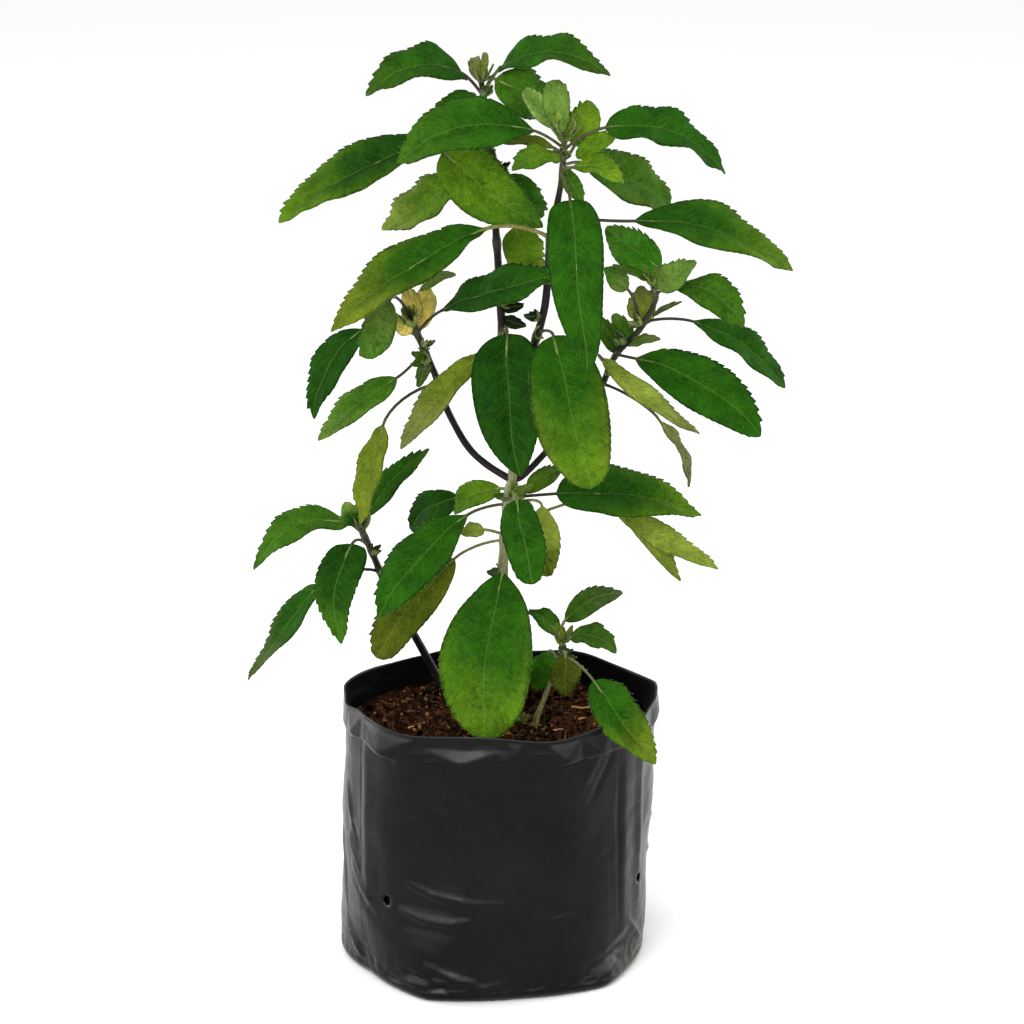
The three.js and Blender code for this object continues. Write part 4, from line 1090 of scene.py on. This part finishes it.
def hemOut(angle, height, share):  # share is 0 at the rim and 1 at the hem's lip
    loose = bag["hemLoose"] * share * (1 + noise.noise(around(angle, 5, 3.1)))
    loose += bag["hemRipple"] * abs(noise.noise(around(angle, 9, 1.3)))
    folds = sum(stand * max(0.0, 1 - max(abs(angleFrom(a, angle)) / wide, abs(height - z) / up)) ** 0.9
                for a, z, wide, up, stand in bag["facets"])
    tucked = bag["hemTuck"] * smooth(0.88, 1.0, share)  # the lip's cut edge lies against the wall
    return max(bag["hemClosest"], bag["hemStand"] + loose + folds * smooth(0, 0.25, share)) - tucked


def growBag():
    bm = bmesh.new()
    rounding, height = bag["rounding"], bag["height"]
    rows = [("bottom", 0.0, share) for share in (0.03, 0.15, 0.35, 0.55, 0.72, 0.85, 0.93)]
    for i in range(1, 7):
        turn = i / 6 * math.pi / 2
        rows.append(("bottom", rounding * (1 - math.cos(turn)), 0.93 + 0.07 * math.sin(turn)))
    wallRows, hemRows = bag["wallRows"], bag["hemRows"]
    rows += [("wall", rounding + (height - rounding) * i / wallRows, 0.0) for i in range(1, wallRows + 1)]
    rows += [("mouth", height, i / 4) for i in range(1, 5)]
    rows += [("hem", height - bag["hemDepth"] * i / hemRows, i / hemRows) for i in range(1, hemRows + 1)]
    ring = bmesh.ops.create_circle(bm, cap_ends=True, segments=bag["sides"], radius=1)["verts"]
    edges = list(dict.fromkeys(edge for vert in ring for edge in vert.link_edges))
    angles = [math.degrees(math.atan2(vert.co.y, vert.co.x)) for vert in ring]
    onWall = {}
    for i, (part, level, share) in enumerate(rows):
        if i:
            ring, edges = nextRing(bm, edges)
        for vert, angle in zip(ring, angles):
            if part == "bottom":
                rim = filmPlace(angle, level, 0)
                spot = Vector((rim.x * share / bag["footGrain"], rim.y * share / bag["footGrain"], 0))
                crumpled = bag["footCrumple"] * abs(noise.noise(spot))
                lift = level or crumpled * smooth(0.2, 0.9, share)
                place = Vector((rim.x * share, rim.y * share, lift + bag["thickness"]))
            elif part == "wall":
                place = filmPlace(angle, level, wallOut(angle, level))
                onWall[vert] = (angle, level)
            elif part == "mouth":
                turn = share * math.pi
                place = filmPlace(angle, level + bag["foldRadius"] * math.sin(turn),
                                  bag["foldRadius"] * (1 - math.cos(turn)))
            else:
                lip = share * bag["lipWander"] * noise.noise(around(angle, 4, 9.0))
                place = filmPlace(angle, level + lip, hemOut(angle, level, share))
            vert.co = place * mm
    punchHoles(bm, onWall)
    bmesh.ops.recalc_face_normals(bm, faces=bm.faces)
    piece = finishPiece("growBag", bm, polythene, "grow_bag")
    shell = piece.modifiers.new("filmThickness", "SOLIDIFY")
    shell.thickness = bag["thickness"] * mm
    shell.offset = -1


def punchHoles(bm, onWall):  # the film's faces go inside each hole, and its edge is drawn onto a torn circle
    perDegree = bag["radius"] * math.pi / 180
    for holeAngle, holeHeight in bag["holes"]:
        near = {}
        for vert, (angle, level) in onWall.items():
            x, y = angleFrom(holeAngle, angle) * perDegree, level - holeHeight
            if math.hypot(x, y) < bag["holeRadius"] * 2:
                near[vert] = (x, y)
        inside = [vert for vert, (x, y) in near.items() if math.hypot(x, y) < bag["holeRadius"] * 0.8]
        gone = {face for vert in inside for face in vert.link_faces}
        edge = {vert for face in gone for vert in face.verts} - set(inside)
        bmesh.ops.delete(bm, geom=list(gone), context="FACES")
        for vert in edge:
            x, y = near[vert]
            turn = math.atan2(y, x)
            torn = bag["holeTear"] * noise.noise(Vector((math.cos(turn), math.sin(turn), holeAngle)))
            radius = bag["holeRadius"] * (1 + torn)
            angle = holeAngle + radius * math.cos(turn) / perDegree
            level = holeHeight + radius * math.sin(turn)
            vert.co = filmPlace(angle, level, wallOut(angle, level) - bag["holeSink"]) * mm
        for vert in inside:
            onWall.pop(vert)


growBag()


# ---- soil

soil = {
    "top": 106, "dome": 3.5, "foot": 1.6,
    "middle": 3, "reach": 64,
    "sides": 150, "rings": 60,
    "clods": 2.6, "clodGrain": 8,
    "paleToRight": 0.6,  # how much paler the soil is to the right
    "offWall": {"top": -1.1, "below": -2.8},
    "shades": ["#060301", "#3e2616", "#0e0704", "#6a452c", "#1c0f08", "#523420"],
    "shadeGrain": 3,
    "crumbs": 1300, "crumbSize": (0.8, 3.4), "crumbReach": 61.5, "crumbSunk": 0.15,
    "crumbShades": ["#0e0704", "#4a2c14", "#6e4828", "#a8804f", "#030201", "#241409", "#5c3820"],
    "fibres": 260, "fibreLength": (1.5, 5), "fibreThickness": (0.09, 0.2), "fibreReach": 58, "fibrePoints": 6,
    "fibreShades": ["#5e4028", "#482f1b", "#7e5c3b", "#322010", "#583f2a", "#120a05", "#241608"],
    "straws": [[(35, 21), (40, 20.5), (45, 20)], [(27, -14), (31, -12)], [(38, 2), (41, 5)],
               [(-20, -34), (-15, -36)], [(-36, -8), (-33, -5)]],
    "strawShade": "#b98a52", "strawRadius": 0.5,
}


def soilLevel(x, y):
    share = min(1.0, math.hypot(x - bag["lean"] * 0.9, y) / soil["reach"])
    level = soil["top"] - soil["dome"] * share ** 2
    spot = Vector((x / soil["clodGrain"], y / soil["clodGrain"], 1.7))
    rough = noise.fractal(spot, 1.0, 2.0, 5) * soil["clods"]
    return level + rough * smooth(1.02, 0.9, share)


def onSoil(dice, reach):  # an even scatter over the round top
    turn, out = dice.uniform(0, 2 * math.pi), reach * math.sqrt(dice.random())
    return out * math.cos(turn) + soil["middle"], out * math.sin(turn)


def growSoil():
    bm = bmesh.new()
    tones = bm.verts.layers.float_color.new("soilTone")
    shades = [linear(shade) for shade in soil["shades"]]
    ring = bmesh.ops.create_circle(bm, cap_ends=True, segments=soil["sides"], radius=1)["verts"]
    edges = list(dict.fromkeys(edge for vert in ring for edge in vert.link_edges))
    angles = [math.degrees(math.atan2(vert.co.y, vert.co.x)) for vert in ring]
    edgeLevel = soil["top"] - soil["dome"]
    rows = [(edgeLevel, (i + 1) / soil["rings"], "top") for i in range(soil["rings"])]
    rows += [(level, 1.0, "below") for level in (88, 60, 30, 8, 3)] + [(soil["foot"], 0.95, "below")]
    for i, (height, share, part) in enumerate(rows):
        if i:
            ring, edges = nextRing(bm, edges)
        for vert, angle in zip(ring, angles):
            wall = filmPlace(angle, height, soil["offWall"][part])
            middle = bag["lean"] * height / bag["height"]
            x, y = middle + (wall.x - middle) * share, wall.y * share
            vert.co = Vector((x, y, soilLevel(x, y) if part == "top" else height)) * mm
            spot = Vector((x / soil["shadeGrain"], y / soil["shadeGrain"], 5))
            pick = noise.noise(spot) * 2.4 + 2 + soil["paleToRight"] * smooth(10, 40, x)
            low = max(0, min(len(shades) - 2, int(pick)))
            vert[tones] = blend(shades[low], shades[low + 1], min(1.0, max(0.0, pick - low)))
    bmesh.ops.contextual_create(bm, geom=ring)
    bmesh.ops.recalc_face_normals(bm, faces=bm.faces)
    finishPiece("soilPlug", bm, pottingMix, "soil")


def scatterCrumbs():
    dice = random.Random(41)
    bm = bmesh.new()
    tones = bm.verts.layers.float_color.new("soilTone")
    for _ in range(soil["crumbs"]):
        x, y = onSoil(dice, soil["crumbReach"])
        size = dice.uniform(*soil["crumbSize"]) * (0.6 if dice.random() < 0.6 else 1.0)
        made = bmesh.ops.create_icosphere(bm, subdivisions=1, radius=size / 2 * mm)["verts"]
        shade = linear(dice.choice(soil["crumbShades"]))
        squeeze = [dice.uniform(0.5, 1.3) for _ in range(3)]
        middle = Vector((x, y, soilLevel(x, y) + size * soil["crumbSunk"])) * mm
        for vert in made:
            jitter = 1 + 0.35 * noise.noise(vert.co * 1400 + Vector((x, y, 0)))
            vert.co = middle + Vector([c * s * jitter for c, s in zip(vert.co, squeeze)])
            vert[tones] = shade
    finishPiece("soilCrumbs", bm, pottingMix, "soil")


def scatterFibres():
    dice = random.Random(43)
    bm = bmesh.new()
    bm.verts.layers.float_color.new("barkTone")
    points = soil["fibrePoints"]
    for _ in range(soil["fibres"]):
        x, y = onSoil(dice, soil["fibreReach"])
        way, curve = dice.uniform(0, 2 * math.pi), dice.uniform(-0.5, 0.5)
        length = dice.uniform(*soil["fibreLength"])
        arched = dice.uniform(0, 0.7)
        path = []
        for k in range(points):
            s = k / (points - 1) - 0.5
            px, py = x + s * length * math.cos(way + curve * s), y + s * length * math.sin(way + curve * s)
            risen = arched * math.sin(math.pi * k / (points - 1))
            path.append(Vector((px, py, soilLevel(px, py) + 0.3 + risen)))
        thick = dice.uniform(*soil["fibreThickness"])
        shade = linear(dice.choice(soil["fibreShades"]))
        radii = [thick * 0.5] + [thick] * (points - 2) + [thick * 0.5]
        growTube(bm, path, radii, [shade] * points, sides=4)
    strawShade = linear(soil["strawShade"])
    for route in soil["straws"]:
        path = [Vector((x, y, soilLevel(x, y) + 0.7)) for x, y in route]
        growTube(bm, path, [soil["strawRadius"]] * len(path), [strawShade] * len(path), sides=5)
    finishPiece("soilFibres", bm, bark, "soil")


growSoil()
scatterCrumbs()
scatterFibres()
